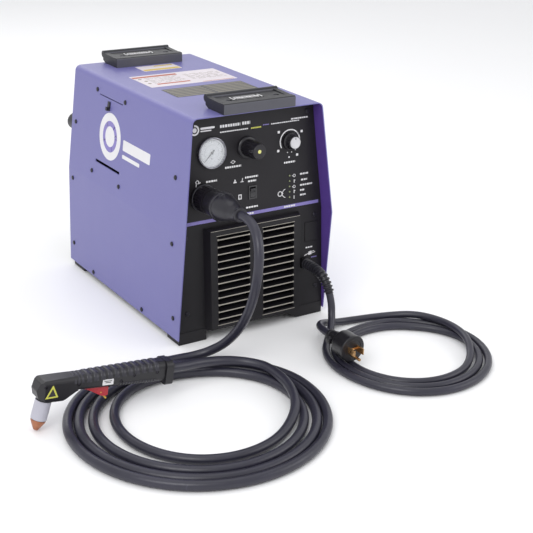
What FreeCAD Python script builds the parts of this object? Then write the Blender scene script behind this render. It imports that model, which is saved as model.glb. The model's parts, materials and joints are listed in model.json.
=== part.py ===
import FreeCAD, Part
import math
import os

# Plasma cutter unit with its hand torch. Millimetres, +Z up, +Y to the rear, +X to the right seen from the front.
# Pieces are built with x = 0 at the middle of the case, y = 0 at the top of the cover's front edge and z = 0 on
# the floor. At the end everything is moved so that the footprint of unit and torch is centred on the origin.

# Case
case_height = 370.0
case_depth = 418.0
top_half_width = 118.5
crease_half_width = 138.5
bottom_half_width = 141.5
crease_height = 186.0
crease_forward = 14.0
bottom_setback = 2.0
cover_bottom = 9.0
cover_sheet = 1.6
top_bend = 10.0
crease_bend = 8.0
panel_recess = 25.0
panel_lean = 0.055
panel_sheet = 2.0
moulding_wall = 3.5
panel_split_height = 195.0
flange_depth = 20.0
flange_wall = 2.0
rear_recess = 8.0
pan_height = 12.0
pan_sheet = 1.6
pan_flange = 22.0

# Gaps
seat_gap = 0.4
body_gap = 0.3
running_gap = 0.05

# Fasteners
screw_shank = 2.0
screw_hole = 2.25
screw_head = 3.9
screw_head_height = 2.0
screw_length = 8.0

# Handles
handle_width = 130.0
handle_depth = 62.0
handle_height = 16.5
grip_rise = 4.0
grip_radius = 6.0
handle_wall = 5.0
handle_cheek = 9.0
front_handle_forward = 2.0
rear_handle_setback = 55.0

# Gauge
gauge_x = -72.7
gauge_z = 306.8
gauge_radius = 24.6
gauge_body_radius = 21.0
gauge_bezel_height = 5.0
gauge_bezel_wall = 2.4
gauge_depth = 26.0
lens_thickness = 1.0
dial_thickness = 0.6
needle_thickness = 0.6
needle_length = 17.0
needle_rest_angle = 225.0
needle_pin = 1.0

# Regulator
regulator_x = -8.0
regulator_z = 307.0
regulator_nut_radius = 17.0
regulator_nut_height = 4.0
bonnet_radius = 10.0
bonnet_height = 12.0
spindle_radius = 4.0
regulator_knob_radius = 14.0
regulator_knob_nose = 11.5
regulator_knob_start = 8.0
regulator_knob_end = 37.0
regulator_flutes = 8

# Output control
output_x = 73.0
output_z = 306.6
output_skirt_radius = 14.0
output_body_radius = 11.0
output_cap_radius = 9.2
output_reach = 17.0
pot_radius = 12.0
pot_depth = 12.0
pot_shaft_radius = 3.0
bushing_radius = 4.6

# Switches and lights
mode_x = 1.6
mode_z = 233.0
mode_width = 13.0
mode_height = 20.0
switch_wall = 1.3
rocker_pivot = -1.0
rocker_pin = 0.9
rocker_tilt = 9.0
light_x = 72.6
light_top_z = 249.5
light_pitch = 9.0
light_count = 5
light_radius = 1.5

# Torch connection
socket_x = -90.0
socket_z = 238.0
socket_flange = 21.0
socket_radius = 17.0
lock_ring_radius = 21.0
lock_ring_start = 7.0
lock_ring_end = 32.0
plug_shell_radius = 19.5
boot_start = 57.0
boot_rim = 23.4
boot_end = 115.0
torch_cable_radius = 7.25

# Lower moulding and grille
grille_half_base = 91.0
grille_half_front = 85.0
grille_forward = 14.0
grille_top = 187.0
grille_bottom = 18.0
bank_inner = 12.5
bank_outer = 72.5
slat_count = 12
slat_pitch = 12.15
slat_top_z = 170.0
slat_thickness = 2.2
slat_slope = 4.0
opening_top = 175.0
opening_bottom = 27.7
foot_inner = 88.0
foot_depth = 40.0
moulding_bottom = 14.0
blank_x = 116.0
blank_z = 148.0
blank_width = 26.0
blank_height = 34.0

# Mains cord
gland_x = 101.0
gland_z = 96.0
gland_nut = 10.0
gland_length = 6.0
relief_radius = 8.5
cord_radius = 6.0
plug_radius = 22.0
plug_length = 34.0
plug_clamp_length = 26.0

# Rear
fan_x = 30.0
fan_z = 118.0
fan_radius = 56.0
fan_clearance = 4.0
fan_hub = 18.0
fan_blades = 5
fan_thickness = 14.0
guard_wire = 2.0
inlet_x = -111.0
inlet_z = 262.0
inlet_radius = 15.0
inlet_reach = 37.0
inlet_thread_radius = 5.7
inlet_thread_depth = 14.0
mains_switch_x = 60.0
mains_switch_z = 290.0
heat_sink_rear_gap = 70.0

# Torch
torch_length = 193.5
torch_width = 28.0
torch_half_height = 12.5
torch_wall = 2.6
torch_flare = 16.5
head_drop = 23.0
head_half_length = 16.2
cup_lean = 10.0
cup_radius = 11.5
cup_length = 28.4
tip_radius = 8.5
tip_length = 16.0
trigger_front = 137.0
trigger_rear = 98.0
trigger_width = 9.0
trigger_drop = 17.0
lock_setback = 11.0
lock_drop = 11.0
trigger_pin = 1.5


rear_handle_start = case_depth - rear_handle_setback


def vec(x, y, z):
    return FreeCAD.Vector(x, y, z)


ex = vec(1, 0, 0)
ey = vec(0, 1, 0)
ez = vec(0, 0, 1)


def unit(v):
    return v * (1.0 / v.Length)


def block(x0, x1, y0, y1, z0, z1):
    return Part.makeBox(x1 - x0, y1 - y0, z1 - z0, vec(x0, y0, z0))


def rod(radius, start, end):
    return Part.makeCylinder(radius, (end - start).Length, start, end - start)


def tube(outer, inner, start, end):
    return rod(outer, start, end).cut(rod(inner, start, end))


def cone(radius_start, radius_end, start, end):
    return Part.makeCone(radius_start, radius_end, (end - start).Length, start, end - start)


def fused(shapes):
    whole = shapes[0]
    if len(shapes) > 1:
        whole = shapes[0].fuse(shapes[1:]).removeSplitter()
    return whole


def bend(before, corner, after, radius):
    # start, middle and end of the arc that rounds a corner
    back = unit(before - corner)
    on = unit(after - corner)
    half = back.getAngle(on) / 2
    reach = radius / math.tan(half)
    inward = unit(back + on)
    centre = corner + inward * (radius / math.sin(half))
    return corner + back * reach, centre - inward * radius, corner + on * reach


def outline(points, radii):
    # closed wire through the points, each corner rounded by its own radius
    stops = []
    count = len(points)
    for i, corner in enumerate(points):
        if radii[i] > 0:
            stops.append(bend(points[i - 1], corner, points[(i + 1) % count], radii[i]))
        else:
            stops.append((corner, None, corner))
    edges = []
    for i, (start, middle, end) in enumerate(stops):
        if middle is not None:
            edges.append(Part.Arc(start, middle, end).toShape())
        following = stops[(i + 1) % count][0]
        if (following - end).Length > 1e-6:
            edges.append(Part.makeLine(end, following))
    return Part.Wire(edges)


def prism(points, depth, radii=None):
    wire = outline(points, radii or [0] * len(points))
    return Part.Face(wire).extrude(depth)


def placed(shape, origin, x_axis, y_axis, z_axis):
    matrix = FreeCAD.Matrix(
        x_axis.x, y_axis.x, z_axis.x, origin.x,
        x_axis.y, y_axis.y, z_axis.y, origin.y,
        x_axis.z, y_axis.z, z_axis.z, origin.z,
        0, 0, 0, 1)
    moved = shape.copy()
    moved.Placement = FreeCAD.Placement(matrix).multiply(shape.Placement)
    return moved


def bolt(seat, out, shank_length=screw_length, shank=screw_shank, head=screw_head, height=screw_head_height):
    # pan-head screw whose head sits on seat and stands out along out
    shoulder = seat + out * (0.6 * height)
    top = seat + out * height
    return fused([rod(head, seat, shoulder), cone(head, 0.6 * head, shoulder, top),
                  rod(shank, seat - out * shank_length, seat)])


# Case shape ---------------------------------------------------------------------------------------------------------

def half_width(z):
    if z >= crease_height:
        share = (z - crease_height) / (case_height - crease_height)
        return crease_half_width + (top_half_width - crease_half_width) * share
    share = (crease_height - z) / (crease_height - cover_bottom)
    return crease_half_width + (bottom_half_width - crease_half_width) * share


def cover_front(z):
    if z >= crease_height:
        return -crease_forward * (case_height - z) / (case_height - crease_height)
    share = (crease_height - z) / (crease_height - cover_bottom)
    return -crease_forward + (crease_forward + bottom_setback) * share


def panel_y(z):
    return panel_recess - panel_lean * (case_height - z)


panel_out = unit(vec(0, -1, panel_lean))
panel_up = unit(vec(0, panel_lean, 1))


def panel_point(x, z, out=0.0):
    return vec(x, panel_y(z), z) + panel_out * out


def on_panel(shape, x, z):
    # local x to the right, y up the panel, z out of it
    return placed(shape, panel_point(x, z), ex, panel_up, panel_out)


def side_out(z, side):
    # outward normal of the cover's side at height z; side is -1 left, +1 right
    if z >= crease_height:
        run = crease_half_width - top_half_width
        rise = case_height - crease_height
    else:
        run = bottom_half_width - crease_half_width
        rise = crease_height - cover_bottom
    return unit(vec(side * rise, 0, run))


def case_prism(inset, bottom, start, length):
    # the cover's section, moved inwards by inset, from y = start over length
    low = half_width(bottom) - inset
    bend_top = max(top_bend - inset, 0.5)
    bend_side = max(crease_bend - inset, 0.5)
    side = [(low, bottom, 0)]
    if bottom < crease_height:
        side.append((crease_half_width - inset, crease_height, bend_side))
    side.append((top_half_width - inset, case_height - inset, bend_top))
    points = [vec(-x, start, z) for x, z, radius in side] + [vec(x, start, z) for x, z, radius in reversed(side)]
    radii = [radius for x, z, radius in side]
    return prism(points, vec(0, length, 0), radii + radii[::-1])


def leaning_slab(front, depth, low, high):
    # slab parallel to the front panel: from front behind its face, depth thick, between two heights
    points = [vec(-200, panel_y(low) + front, low), vec(-200, panel_y(high) + front, high),
              vec(-200, panel_y(high) + front + depth, high), vec(-200, panel_y(low) + front + depth, low)]
    return prism(points, vec(400, 0, 0))


def side_screw_points():
    points = []
    for height in (272.0, 167.0, 43.0):
        points.append((panel_y(height) + 13.0, height))
    for height in (273.0, 170.0, 45.0):
        points.append((case_depth - rear_recess - 9.0, height))
    for depth in (218.0, 323.0):
        points.append((depth, 205.0))
        points.append((depth, 347.0))
    for depth in (129.0, 318.0):
        points.append((depth, cover_bottom + 7.0))
    return points


def side_screw_axes():
    # seat point and outward direction of every side screw
    axes = []
    for side in (-1, 1):
        for depth, height in side_screw_points():
            axes.append((vec(side * half_width(height), depth, height), side_out(height, side)))
    return axes


def without_side_holes(shape):
    drills = []
    for seat, out in side_screw_axes():
        drills.append(rod(screw_hole, seat - out * (screw_length + 2), seat + out * 2))
    return shape.cut(drills)


def make_cover():
    outer = case_prism(0, cover_bottom, -crease_forward - 5, case_depth + crease_forward + 5)
    inner = case_prism(cover_sheet, cover_bottom - 2, -crease_forward - 6, case_depth + crease_forward + 8)
    profile = [vec(-200, cover_front(case_height), case_height), vec(-200, -crease_forward, crease_height),
               vec(-200, bottom_setback, cover_bottom), vec(-200, bottom_setback, 0),
               vec(-200, case_depth, 0), vec(-200, case_depth, case_height + 5), vec(-200, 0, case_height + 5)]
    shell = outer.cut(inner).common(prism(profile, vec(400, 0, 0)))
    slots = [block(-160, -110, 220, 312, 224.5, 229.5), block(-160, -110, 226, 314, 340.2, 341.8)]
    latch_hole = block(-160, -110, 272, 278, 327, 333)
    return without_side_holes(shell.cut(slots + [latch_hole]))


def panel_blank(low, high, wall):
    # flat sheet with side and top flanges turned back, inside the cover
    inset = cover_sheet + seat_gap
    whole = case_prism(inset, low, -30, 120)
    inner = case_prism(inset + flange_wall, low - 5, -31, 122)
    face = whole.common(leaning_slab(0, wall, low, high))
    flanges = whole.cut(inner).common(leaning_slab(wall / 2, flange_depth, low, high))
    return fused([face, flanges])


def panel_drill(radius, x, z):
    return rod(radius, panel_point(x, z, -40), panel_point(x, z, 10))


def make_front_panel():
    panel = panel_blank(panel_split_height, case_height, panel_sheet)
    cuts = [panel_drill(gauge_body_radius + seat_gap, gauge_x, gauge_z),
            panel_drill(bonnet_radius + seat_gap, regulator_x, regulator_z),
            panel_drill(bushing_radius + seat_gap, output_x, output_z),
            panel_drill(socket_radius + seat_gap, socket_x, socket_z)]
    for i in range(light_count):
        cuts.append(panel_drill(light_radius + 0.1, light_x, light_top_z - i * light_pitch))
    window = block(-mode_width / 2 - 0.2, mode_width / 2 + 0.2, -mode_height / 2 - 0.2, mode_height / 2 + 0.2, -20, 5)
    cuts.append(on_panel(window, mode_x, mode_z))
    for x, z in front_screw_points(upper=True):
        cuts.append(panel_drill(screw_hole, x, z))
    return without_side_holes(panel.cut(cuts))


def front_screw_points(upper):
    if upper:
        return [(-106.0, 352.0), (106.0, 352.0)]
    return [(122.0, 176.5), (-122.0, 176.5), (125.5, 51.0), (-122.0, 51.0)]


def grille_frame():
    base = [vec(-grille_half_base, 0, grille_bottom), vec(grille_half_base, 0, grille_bottom),
            vec(grille_half_base, 0, grille_top), vec(-grille_half_base, 0, grille_top)]
    front = [vec(-grille_half_front, -grille_forward, grille_bottom + 2),
             vec(grille_half_front, -grille_forward, grille_bottom + 2),
             vec(grille_half_front, -grille_forward, grille_top - 1),
             vec(-grille_half_front, -grille_forward, grille_top - 1)]
    wires = []
    for corners in (base, front):
        leaned = [vec(p.x, p.y + panel_y(p.z) + moulding_wall / 2 * (1 if corners is base else 0), p.z)
                  for p in corners]
        wires.append(Part.makePolygon(leaned + leaned[:1]))
    return Part.makeLoft(wires, True, True)


def louvre_cuts():
    # air gaps between the slats: each slopes down to the front
    cuts = []
    front = -grille_forward - 6
    back = moulding_wall + 8
    for side in (-1, 1):
        x0 = bank_inner if side > 0 else -bank_outer
        width = bank_outer - bank_inner
        edges = [opening_top]
        for i in range(slat_count):
            edges.append(slat_top_z - i * slat_pitch)
            edges.append(slat_top_z - i * slat_pitch - slat_thickness)
        edges.append(opening_bottom)
        for i in range(0, len(edges), 2):
            high = edges[i]
            low = edges[i + 1]
            y0 = panel_y((high + low) / 2)
            points = [vec(x0, y0 + front, low), vec(x0, y0 + front, high),
                      vec(x0, y0 + back, high + slat_slope), vec(x0, y0 + back, low + slat_slope)]
            cuts.append(prism(points, vec(width, 0, 0)))
    return cuts


def make_lower_front():
    top = panel_split_height - seat_gap
    moulding = panel_blank(moulding_bottom, top, moulding_wall)
    feet = []
    for side in (-1, 1):
        outer = half_width(cover_bottom) - cover_sheet - seat_gap - 1.0
        x0, x1 = sorted((side * foot_inner, side * outer))
        feet.append(block(x0, x1, panel_y(0), panel_y(0) + foot_depth, 0, pan_height))
        feet.append(block(x0, x1, panel_y(0), panel_y(moulding_bottom) + moulding_wall, pan_height - 1,
                          moulding_bottom + 6))
    brace = [vec(foot_inner, panel_y(0), 0.0), vec(foot_inner + 1, panel_y(0), 0.0),
             vec(foot_inner + 1, panel_y(0), moulding_bottom + 1),
             vec(foot_inner - 24, panel_y(0), moulding_bottom + 1),
             vec(foot_inner - 24, panel_y(0), moulding_bottom - 1)]
    feet.append(prism(brace, vec(0, moulding_wall, 0)))
    body = fused([moulding, grille_frame()] + feet)
    cuts = louvre_cuts()
    cuts.append(panel_drill(gland_nut - 2.0, gland_x, gland_z))
    for x, z in front_screw_points(upper=False):
        cuts.append(panel_drill(screw_hole, x, z))
    recess = block(-blank_width / 2, blank_width / 2, -blank_height / 2, blank_height / 2, -1.5, 5)
    cuts.append(on_panel(recess, blank_x, blank_z))
    hollow = block(-grille_half_front + 3, grille_half_front - 3, -2, grille_forward, 0, grille_top)
    return without_side_holes(body.cut(cuts))


def make_blank_plate():
    gap = 0.4
    half_x = blank_width / 2 - gap
    half_y = blank_height / 2 - gap
    points = [vec(-half_x, -half_y, -1.5), vec(half_x, -half_y, -1.5), vec(half_x, half_y, -1.5),
              vec(-half_x, half_y, -1.5)]
    plate = prism(points, vec(0, 0, 2.3), [1.5] * 4)
    return on_panel(plate, blank_x, blank_z)


def make_base_pan():
    low = pan_height
    inset = cover_sheet + seat_gap
    start = panel_y(low) + flange_depth + moulding_wall + 2
    end = case_depth - rear_recess - flange_depth - 2
    bottom = half_width(cover_bottom) - inset - 0.6
    floor = block(-bottom, bottom, start, end, low, low + pan_sheet)
    tongue_front = block(-bottom + 6, bottom - 6, panel_y(low) + moulding_wall + 1, start + 1, low, low + pan_sheet)
    tongue_rear = block(-bottom + 6, bottom - 6, end - 1, case_depth - rear_recess - 3, low, low + pan_sheet)
    sides = []
    for side in (-1, 1):
        x0, x1 = sorted((side * bottom, side * (bottom - pan_sheet)))
        sides.append(block(x0, x1, start, end, low, low + pan_flange))
    return without_side_holes(fused([floor, tongue_front, tongue_rear] + sides))


def rear_drill(radius, x, z, start=-30, end=12):
    y = case_depth - rear_recess
    return rod(radius, vec(x, y + start, z), vec(x, y + end, z))


def rear_screw_points():
    return [(-104.0, 352.0), (104.0, 352.0), (-126.0, 30.0), (126.0, 30.0), (-128.0, 190.0), (128.0, 190.0)]


def fan_screw_points():
    reach = fan_radius + fan_clearance + 6
    spread = reach * math.sin(math.radians(45))
    return [(fan_x + i * spread, fan_z + j * spread) for i in (-1, 1) for j in (-1, 1)]


def make_rear_panel():
    inset = cover_sheet + seat_gap
    y = case_depth - rear_recess
    whole = case_prism(inset, pan_height + pan_sheet, y - flange_depth, flange_depth + 0.0)
    inner = case_prism(inset + flange_wall, pan_height + pan_sheet - 5, y - flange_depth - 1, flange_depth + 1 - panel_sheet)
    panel = whole.cut(inner)
    cuts = [rear_drill(fan_radius + fan_clearance - 2, fan_x, fan_z), rear_drill(inlet_radius - 3, inlet_x, inlet_z)]
    for x, z in rear_screw_points() + fan_screw_points():
        cuts.append(rear_drill(screw_hole, x, z))
    cuts.append(block(mains_switch_x - 11.2, mains_switch_x + 11.2, y - 30, y + 10, mains_switch_z - 14.2,
                      mains_switch_z + 14.2))
    for i in range(9):
        z = 218.0 + i * 7.0
        cuts.append(block(-60, 20, y - 6, y + 6, z, z + 3.2))
    return without_side_holes(panel.cut(cuts))


def make_rear_feet():
    y1 = case_depth - rear_recess - 2
    outer = half_width(cover_bottom) - cover_sheet - seat_gap - 1.0
    parts = [block(-outer, outer, y1 - 44, y1, pan_height - 5, pan_height)]
    for side in (-1, 1):
        x0, x1 = sorted((side * (outer - 46), side * outer))
        parts.append(block(x0, x1, y1 - 44, y1, 0, pan_height))
    return fused(parts)


# Handles ------------------------------------------------------------------------------------------------------------

def make_handle(start):
    # low moulded bridge: front wall, top plate and raised grip at the rear, open underneath from the rear
    base = case_height
    top = base + handle_height
    end = start + handle_depth
    half = handle_width / 2
    grip_y = end - grip_radius
    grip_z = top + grip_rise - grip_radius
    wall = [vec(-half, start, base), vec(-half, start, top), vec(-half, start + 12, top), vec(-half, start + 12, base)]
    front_wall = prism(wall, vec(handle_width, 0, 0), [0, 3.0, 0, 0])
    plate = block(-half, half, start + 6, grip_y, top - handle_wall, top - 1.0)
    grip = rod(grip_radius, vec(-half, grip_y, grip_z), vec(half, grip_y, grip_z))
    cheek = [vec(-half, start + 2, base), vec(-half, start + 2, top - 1), vec(-half, grip_y, top + 1),
             vec(-half, grip_y, base + 4.5), vec(-half, grip_y - 9, base)]
    cheeks = []
    for x in (0, handle_width - handle_cheek):
        shifted = [p + vec(x, 0, 0) for p in cheek]
        cheeks.append(prism(shifted, vec(handle_cheek, 0, 0)))
    rib = block(-half + 6, half - 6, start + 11, start + 15, top - 1.5, top)
    body = fused([front_wall, plate, grip, rib] + cheeks)
    cuts = []
    for x in (-half + 22, half - 22):
        cuts.append(rod(screw_hole, vec(x, start + 22, base - 5), vec(x, start + 22, top + 5)))
        cuts.append(rod(screw_head + 1.0, vec(x, start + 22, top - 3.5), vec(x, start + 22, top + 5)))
    bosses = []
    for x in (-half + 22, half - 22):
        bosses.append(rod(screw_head + 2, vec(x, start + 22, base), vec(x, start + 22, top - handle_wall + 0.5)))
    return fused([body] + bosses).cut(cuts)


def make_handle_screws():
    screws = []
    for start in (-front_handle_forward, rear_handle_start):
        for x in (-handle_width / 2 + 22, handle_width / 2 - 22):
            seat = vec(x, start + 22, case_height + handle_height - 3.5)
            screws.append(bolt(seat, ez, handle_height - 3.5 - 0.2))
    return Part.makeCompound(screws)


def make_side_screws():
    return Part.makeCompound([bolt(seat, out) for seat, out in side_screw_axes()])


def make_front_screws():
    screws = [bolt(panel_point(x, z), panel_out) for x, z in front_screw_points(True) + front_screw_points(False)]
    return Part.makeCompound(screws)


def make_rear_screws():
    y = case_depth - rear_recess
    screws = [bolt(vec(x, y, z), ey) for x, z in rear_screw_points()]
    screws += [bolt(vec(x, y + guard_wire, z), ey, screw_length + guard_wire) for x, z in fan_screw_points()]
    return Part.makeCompound(screws)


def make_hanger_latch():
    # small spring clip on the left side, above the rope slot
    z = 330.0
    surface = vec(-half_width(z), 275, z)
    out = side_out(z, -1)
    up = unit(vec(crease_half_width - top_half_width, 0, case_height - crease_height))
    plate = block(-4, 4, -9, 6, 0, 2.0)
    nose = block(-3, 3, -9, -3, 2.0, 6.0)
    stem = block(-2.6, 2.6, -2.6, 2.6, -7, 0.5)
    return placed(fused([plate, nose, stem]), surface, ey * -1, up, out)


# Gauge --------------------------------------------------------------------------------------------------------------

def make_gauge_case():
    inner = gauge_radius - gauge_bezel_wall
    parts = [rod(gauge_radius, vec(0, 0, 0), vec(0, 0, gauge_bezel_height)),
             rod(gauge_body_radius, vec(0, 0, -gauge_depth), vec(0, 0, 0)),
             rod(6.5, vec(0, 0, -gauge_depth - 12), vec(0, 0, -gauge_depth))]
    body = fused(parts)
    face_well = rod(inner, vec(0, 0, 0.8), vec(0, 0, gauge_bezel_height))
    hollow = rod(gauge_body_radius - 2, vec(0, 0, -gauge_depth + 6), vec(0, 0, 0.9))
    bearing = rod(3.0, vec(0, 0, -gauge_depth + 5), vec(0, 0, -gauge_depth + 12))
    bore = rod(needle_pin + running_gap, vec(0, 0, -gauge_depth + 4), vec(0, 0, -gauge_depth + 13))
    return on_panel(body.cut([face_well, hollow]).fuse(bearing).cut(bore), gauge_x, gauge_z)


def make_gauge_dial():
    inner = gauge_radius - gauge_bezel_wall - 0.1
    dial = tube(inner, needle_pin + 0.6, vec(0, 0, 0.8), vec(0, 0, 0.8 + dial_thickness))
    return on_panel(dial, gauge_x, gauge_z)


def make_gauge_needle():
    low = 0.8 + dial_thickness + 0.5
    high = low + needle_thickness
    points = [vec(-6, -1.0, low), vec(needle_length, -0.35, low), vec(needle_length, 0.35, low), vec(-6, 1.0, low)]
    blade = prism(points, vec(0, 0, needle_thickness))
    hub = rod(2.2, vec(0, 0, low), vec(0, 0, high))
    pin = rod(needle_pin, vec(0, 0, -gauge_depth + 4.3), vec(0, 0, high))
    needle = fused([blade, hub, pin])
    needle.rotate(vec(0, 0, 0), ez, needle_rest_angle)
    return on_panel(needle, gauge_x, gauge_z)


def make_gauge_lens():
    top = gauge_bezel_height - 0.4
    inner = gauge_radius - gauge_bezel_wall - 0.1
    return on_panel(rod(inner, vec(0, 0, top - lens_thickness), vec(0, 0, top)), gauge_x, gauge_z)


# Regulator ----------------------------------------------------------------------------------------------------------

def make_regulator_body():
    nut = [vec(regulator_nut_radius * math.cos(math.radians(60 * i)), regulator_nut_radius * math.sin(math.radians(60 * i)), 0)
           for i in range(6)]
    parts = [rod(regulator_nut_radius, vec(0, 0, 0), vec(0, 0, regulator_nut_height)),
             rod(bonnet_radius, vec(0, 0, -8), vec(0, 0, bonnet_height)),
             block(-22, 22, -22, 22, -52, -8),
             rod(17, vec(0, -58, -30), vec(0, -22, -30)),
             rod(7, vec(-34, 0, -30), vec(34, 0, -30))]
    body = fused(parts)
    bore = rod(spindle_radius + running_gap, vec(0, 0, -30), vec(0, 0, bonnet_height + 1))
    return on_panel(body.cut(bore), regulator_x, regulator_z)


def make_regulator_spindle():
    spindle = rod(spindle_radius, vec(0, 0, -29.5), vec(0, 0, regulator_knob_end - 8))
    collar = rod(spindle_radius + 3, vec(0, 0, bonnet_height + body_gap), vec(0, 0, bonnet_height + 2.3))
    return on_panel(fused([spindle, collar]), regulator_x, regulator_z)


def make_regulator_knob():
    bottom = regulator_nut_height + 2.0
    mid = regulator_knob_start + 16
    skirt = rod(regulator_knob_radius, vec(0, 0, bottom), vec(0, 0, mid))
    nose = cone(regulator_knob_radius, regulator_knob_nose, vec(0, 0, mid), vec(0, 0, regulator_knob_end))
    body = fused([skirt, nose])
    cuts = [rod(bonnet_radius + 1.0, vec(0, 0, bottom - 1), vec(0, 0, bonnet_height + 7.0)),
            rod(spindle_radius + running_gap, vec(0, 0, bottom), vec(0, 0, regulator_knob_end - 4))]
    for i in range(regulator_flutes):
        angle = 2 * math.pi * (i + 0.5) / regulator_flutes
        x = (regulator_knob_radius + 2.6) * math.cos(angle)
        y = (regulator_knob_radius + 2.6) * math.sin(angle)
        cuts.append(rod(4.0, vec(x, y, bottom - 1), vec(x, y, regulator_knob_end - 5)))
    return on_panel(body.cut(cuts), regulator_x, regulator_z)


# Output control -----------------------------------------------------------------------------------------------------

def make_output_pot():
    body = rod(pot_radius, vec(0, 0, -panel_sheet - pot_depth), vec(0, 0, -panel_sheet - 0.2))
    bushing = rod(bushing_radius, vec(0, 0, -panel_sheet - 1), vec(0, 0, 1.5))
    lugs = block(-8, 8, -pot_radius - 6, -pot_radius + 2, -panel_sheet - 6, -panel_sheet - 4)
    bore = rod(pot_shaft_radius + running_gap, vec(0, 0, -panel_sheet - pot_depth + 3), vec(0, 0, 3))
    return on_panel(fused([body, bushing, lugs]).cut(bore), output_x, output_z)


def make_output_knob():
    parts = [rod(pot_shaft_radius, vec(0, 0, -panel_sheet - pot_depth + 3.5), vec(0, 0, 4)),
             rod(output_skirt_radius, vec(0, 0, 2.0), vec(0, 0, 5.0)),
             cone(output_body_radius + 1, output_body_radius - 0.6, vec(0, 0, 5.0), vec(0, 0, output_reach - 2)),
             rod(output_cap_radius, vec(0, 0, output_reach - 2), vec(0, 0, output_reach))]
    knob = fused(parts)
    mark = block(-0.7, 0.7, output_cap_radius - 4, output_cap_radius + 1, output_reach - 0.5, output_reach + 1)
    return on_panel(knob.cut(mark), output_x, output_z)


# Switches and lights ------------------------------------------------------------------------------------------------

def switch_shell(width, height, depth):
    rim = block(-width / 2 - 1.2, width / 2 + 1.2, -height / 2 - 1.2, height / 2 + 1.2, 0, 1.4)
    body = block(-width / 2, width / 2, -height / 2, height / 2, -depth, 0.2)
    well = block(-width / 2 + switch_wall, width / 2 - switch_wall, -height / 2 + switch_wall,
                 height / 2 - switch_wall, -depth + 4, 2)
    pivot = rod(rocker_pin + running_gap, vec(-width, 0, rocker_pivot), vec(width, 0, rocker_pivot))
    lugs = [block(-3, 3, y - 0.4, y + 0.4, -depth - 7, -depth + 1) for y in (-height / 4, height / 4)]
    return fused([rim, body] + lugs).cut([well, pivot])


def rocker(width, height):
    # rocking key: a prism whose two faces meet in a shallow V over its pivot
    half_x = width / 2 - switch_wall - body_gap
    half_y = height / 2 - switch_wall - body_gap - 0.9
    points = [vec(-half_x, -half_y, -2.4), vec(-half_x, -half_y, 3.0), vec(-half_x, 0, 1.8), vec(-half_x, half_y, 3.0),
              vec(-half_x, half_y, -2.4), vec(-half_x, 0, -4.0)]
    reach = width / 2 - 0.3
    pin = rod(rocker_pin, vec(-reach, 0, rocker_pivot), vec(reach, 0, rocker_pivot))
    return fused([prism(points, vec(2 * half_x, 0, 0)), pin])


def tilted_rocker(width, height):
    key = rocker(width, height)
    key.rotate(vec(0, 0, rocker_pivot), ex, rocker_tilt)
    return key


def make_mode_switch():
    return on_panel(switch_shell(mode_width, mode_height, 16), mode_x, mode_z)


def make_mode_rocker():
    return on_panel(tilted_rocker(mode_width, mode_height), mode_x, mode_z)


def on_rear(shape, x, z):
    # local x to the left seen from behind, y up, z out of the rear panel
    return placed(shape, vec(x, case_depth - rear_recess, z), ex * -1, ez, ey)


def make_power_switch():
    return on_rear(switch_shell(22.0, 28.0, 20), mains_switch_x, mains_switch_z)


def make_power_rocker():
    return on_rear(tilted_rocker(22.0, 28.0), mains_switch_x, mains_switch_z)


def make_status_leds():
    lights = []
    for i in range(light_count):
        stem = rod(light_radius, vec(0, 0, -6), vec(0, 0, 0.4))
        dome = Part.makeSphere(light_radius, vec(0, 0, 0.4), ez, 0, 90, 360)
        lights.append(on_panel(fused([stem, dome]), light_x, light_top_z - i * light_pitch))
    return Part.makeCompound(lights)


def make_control_board():
    board = block(-30, 44, -34, 40, -13.5, -11.9)
    chips = [block(-20, -4, -20, -8, -17, -13.4), block(6, 30, -24, -14, -18, -13.4), block(-24, -12, 14, 30, -24, -13.4)]
    return on_panel(fused([board] + chips), 44.0, 232.0)


# Torch connection ---------------------------------------------------------------------------------------------------

def make_torch_socket():
    parts = [rod(socket_flange, vec(0, 0, 0), vec(0, 0, 5)), rod(socket_radius, vec(0, 0, -28), vec(0, 0, 14)),
             rod(socket_radius + 3.5, vec(0, 0, -8), vec(0, 0, -panel_sheet - 0.2)),
             rod(5, vec(0, 0, -44), vec(0, 0, -28))]
    body = fused(parts)
    well = rod(socket_radius - 4, vec(0, 0, 2), vec(0, 0, 15))
    return on_panel(body.cut(well), socket_x, socket_z)


def make_lock_ring():
    ring = tube(lock_ring_radius, socket_radius + body_gap, vec(0, 0, lock_ring_start), vec(0, 0, lock_ring_end))
    cuts = []
    for i in range(18):
        angle = 2 * math.pi * i / 18
        x = (lock_ring_radius + 0.9) * math.cos(angle)
        y = (lock_ring_radius + 0.9) * math.sin(angle)
        cuts.append(rod(1.8, vec(x, y, lock_ring_start + 3), vec(x, y, lock_ring_end - 6)))
    return on_panel(ring.cut(cuts), socket_x, socket_z)


def make_connector_plug():
    parts = [rod(socket_radius - 4.4, vec(0, 0, 2.4), vec(0, 0, 16)),
             rod(socket_radius, vec(0, 0, 14.4), vec(0, 0, lock_ring_end + 1)),
             rod(plug_shell_radius, vec(0, 0, lock_ring_end + body_gap), vec(0, 0, boot_start))]
    return on_panel(fused(parts), socket_x, socket_z)


def make_torch_boot():
    rim = rod(boot_rim, vec(0, 0, boot_start), vec(0, 0, boot_start + 7))
    shoulder = cone(boot_rim - 1.0, 14.0, vec(0, 0, boot_start + 7), vec(0, 0, boot_start + 36))
    neck = cone(14.0, 10.0, vec(0, 0, boot_start + 36), vec(0, 0, boot_end - 6))
    collar = rod(10.8, vec(0, 0, boot_end - 6), vec(0, 0, boot_end))
    return on_panel(fused([rim, shoulder, neck, collar]), socket_x, socket_z)


# Cords --------------------------------------------------------------------------------------------------------------

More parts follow.
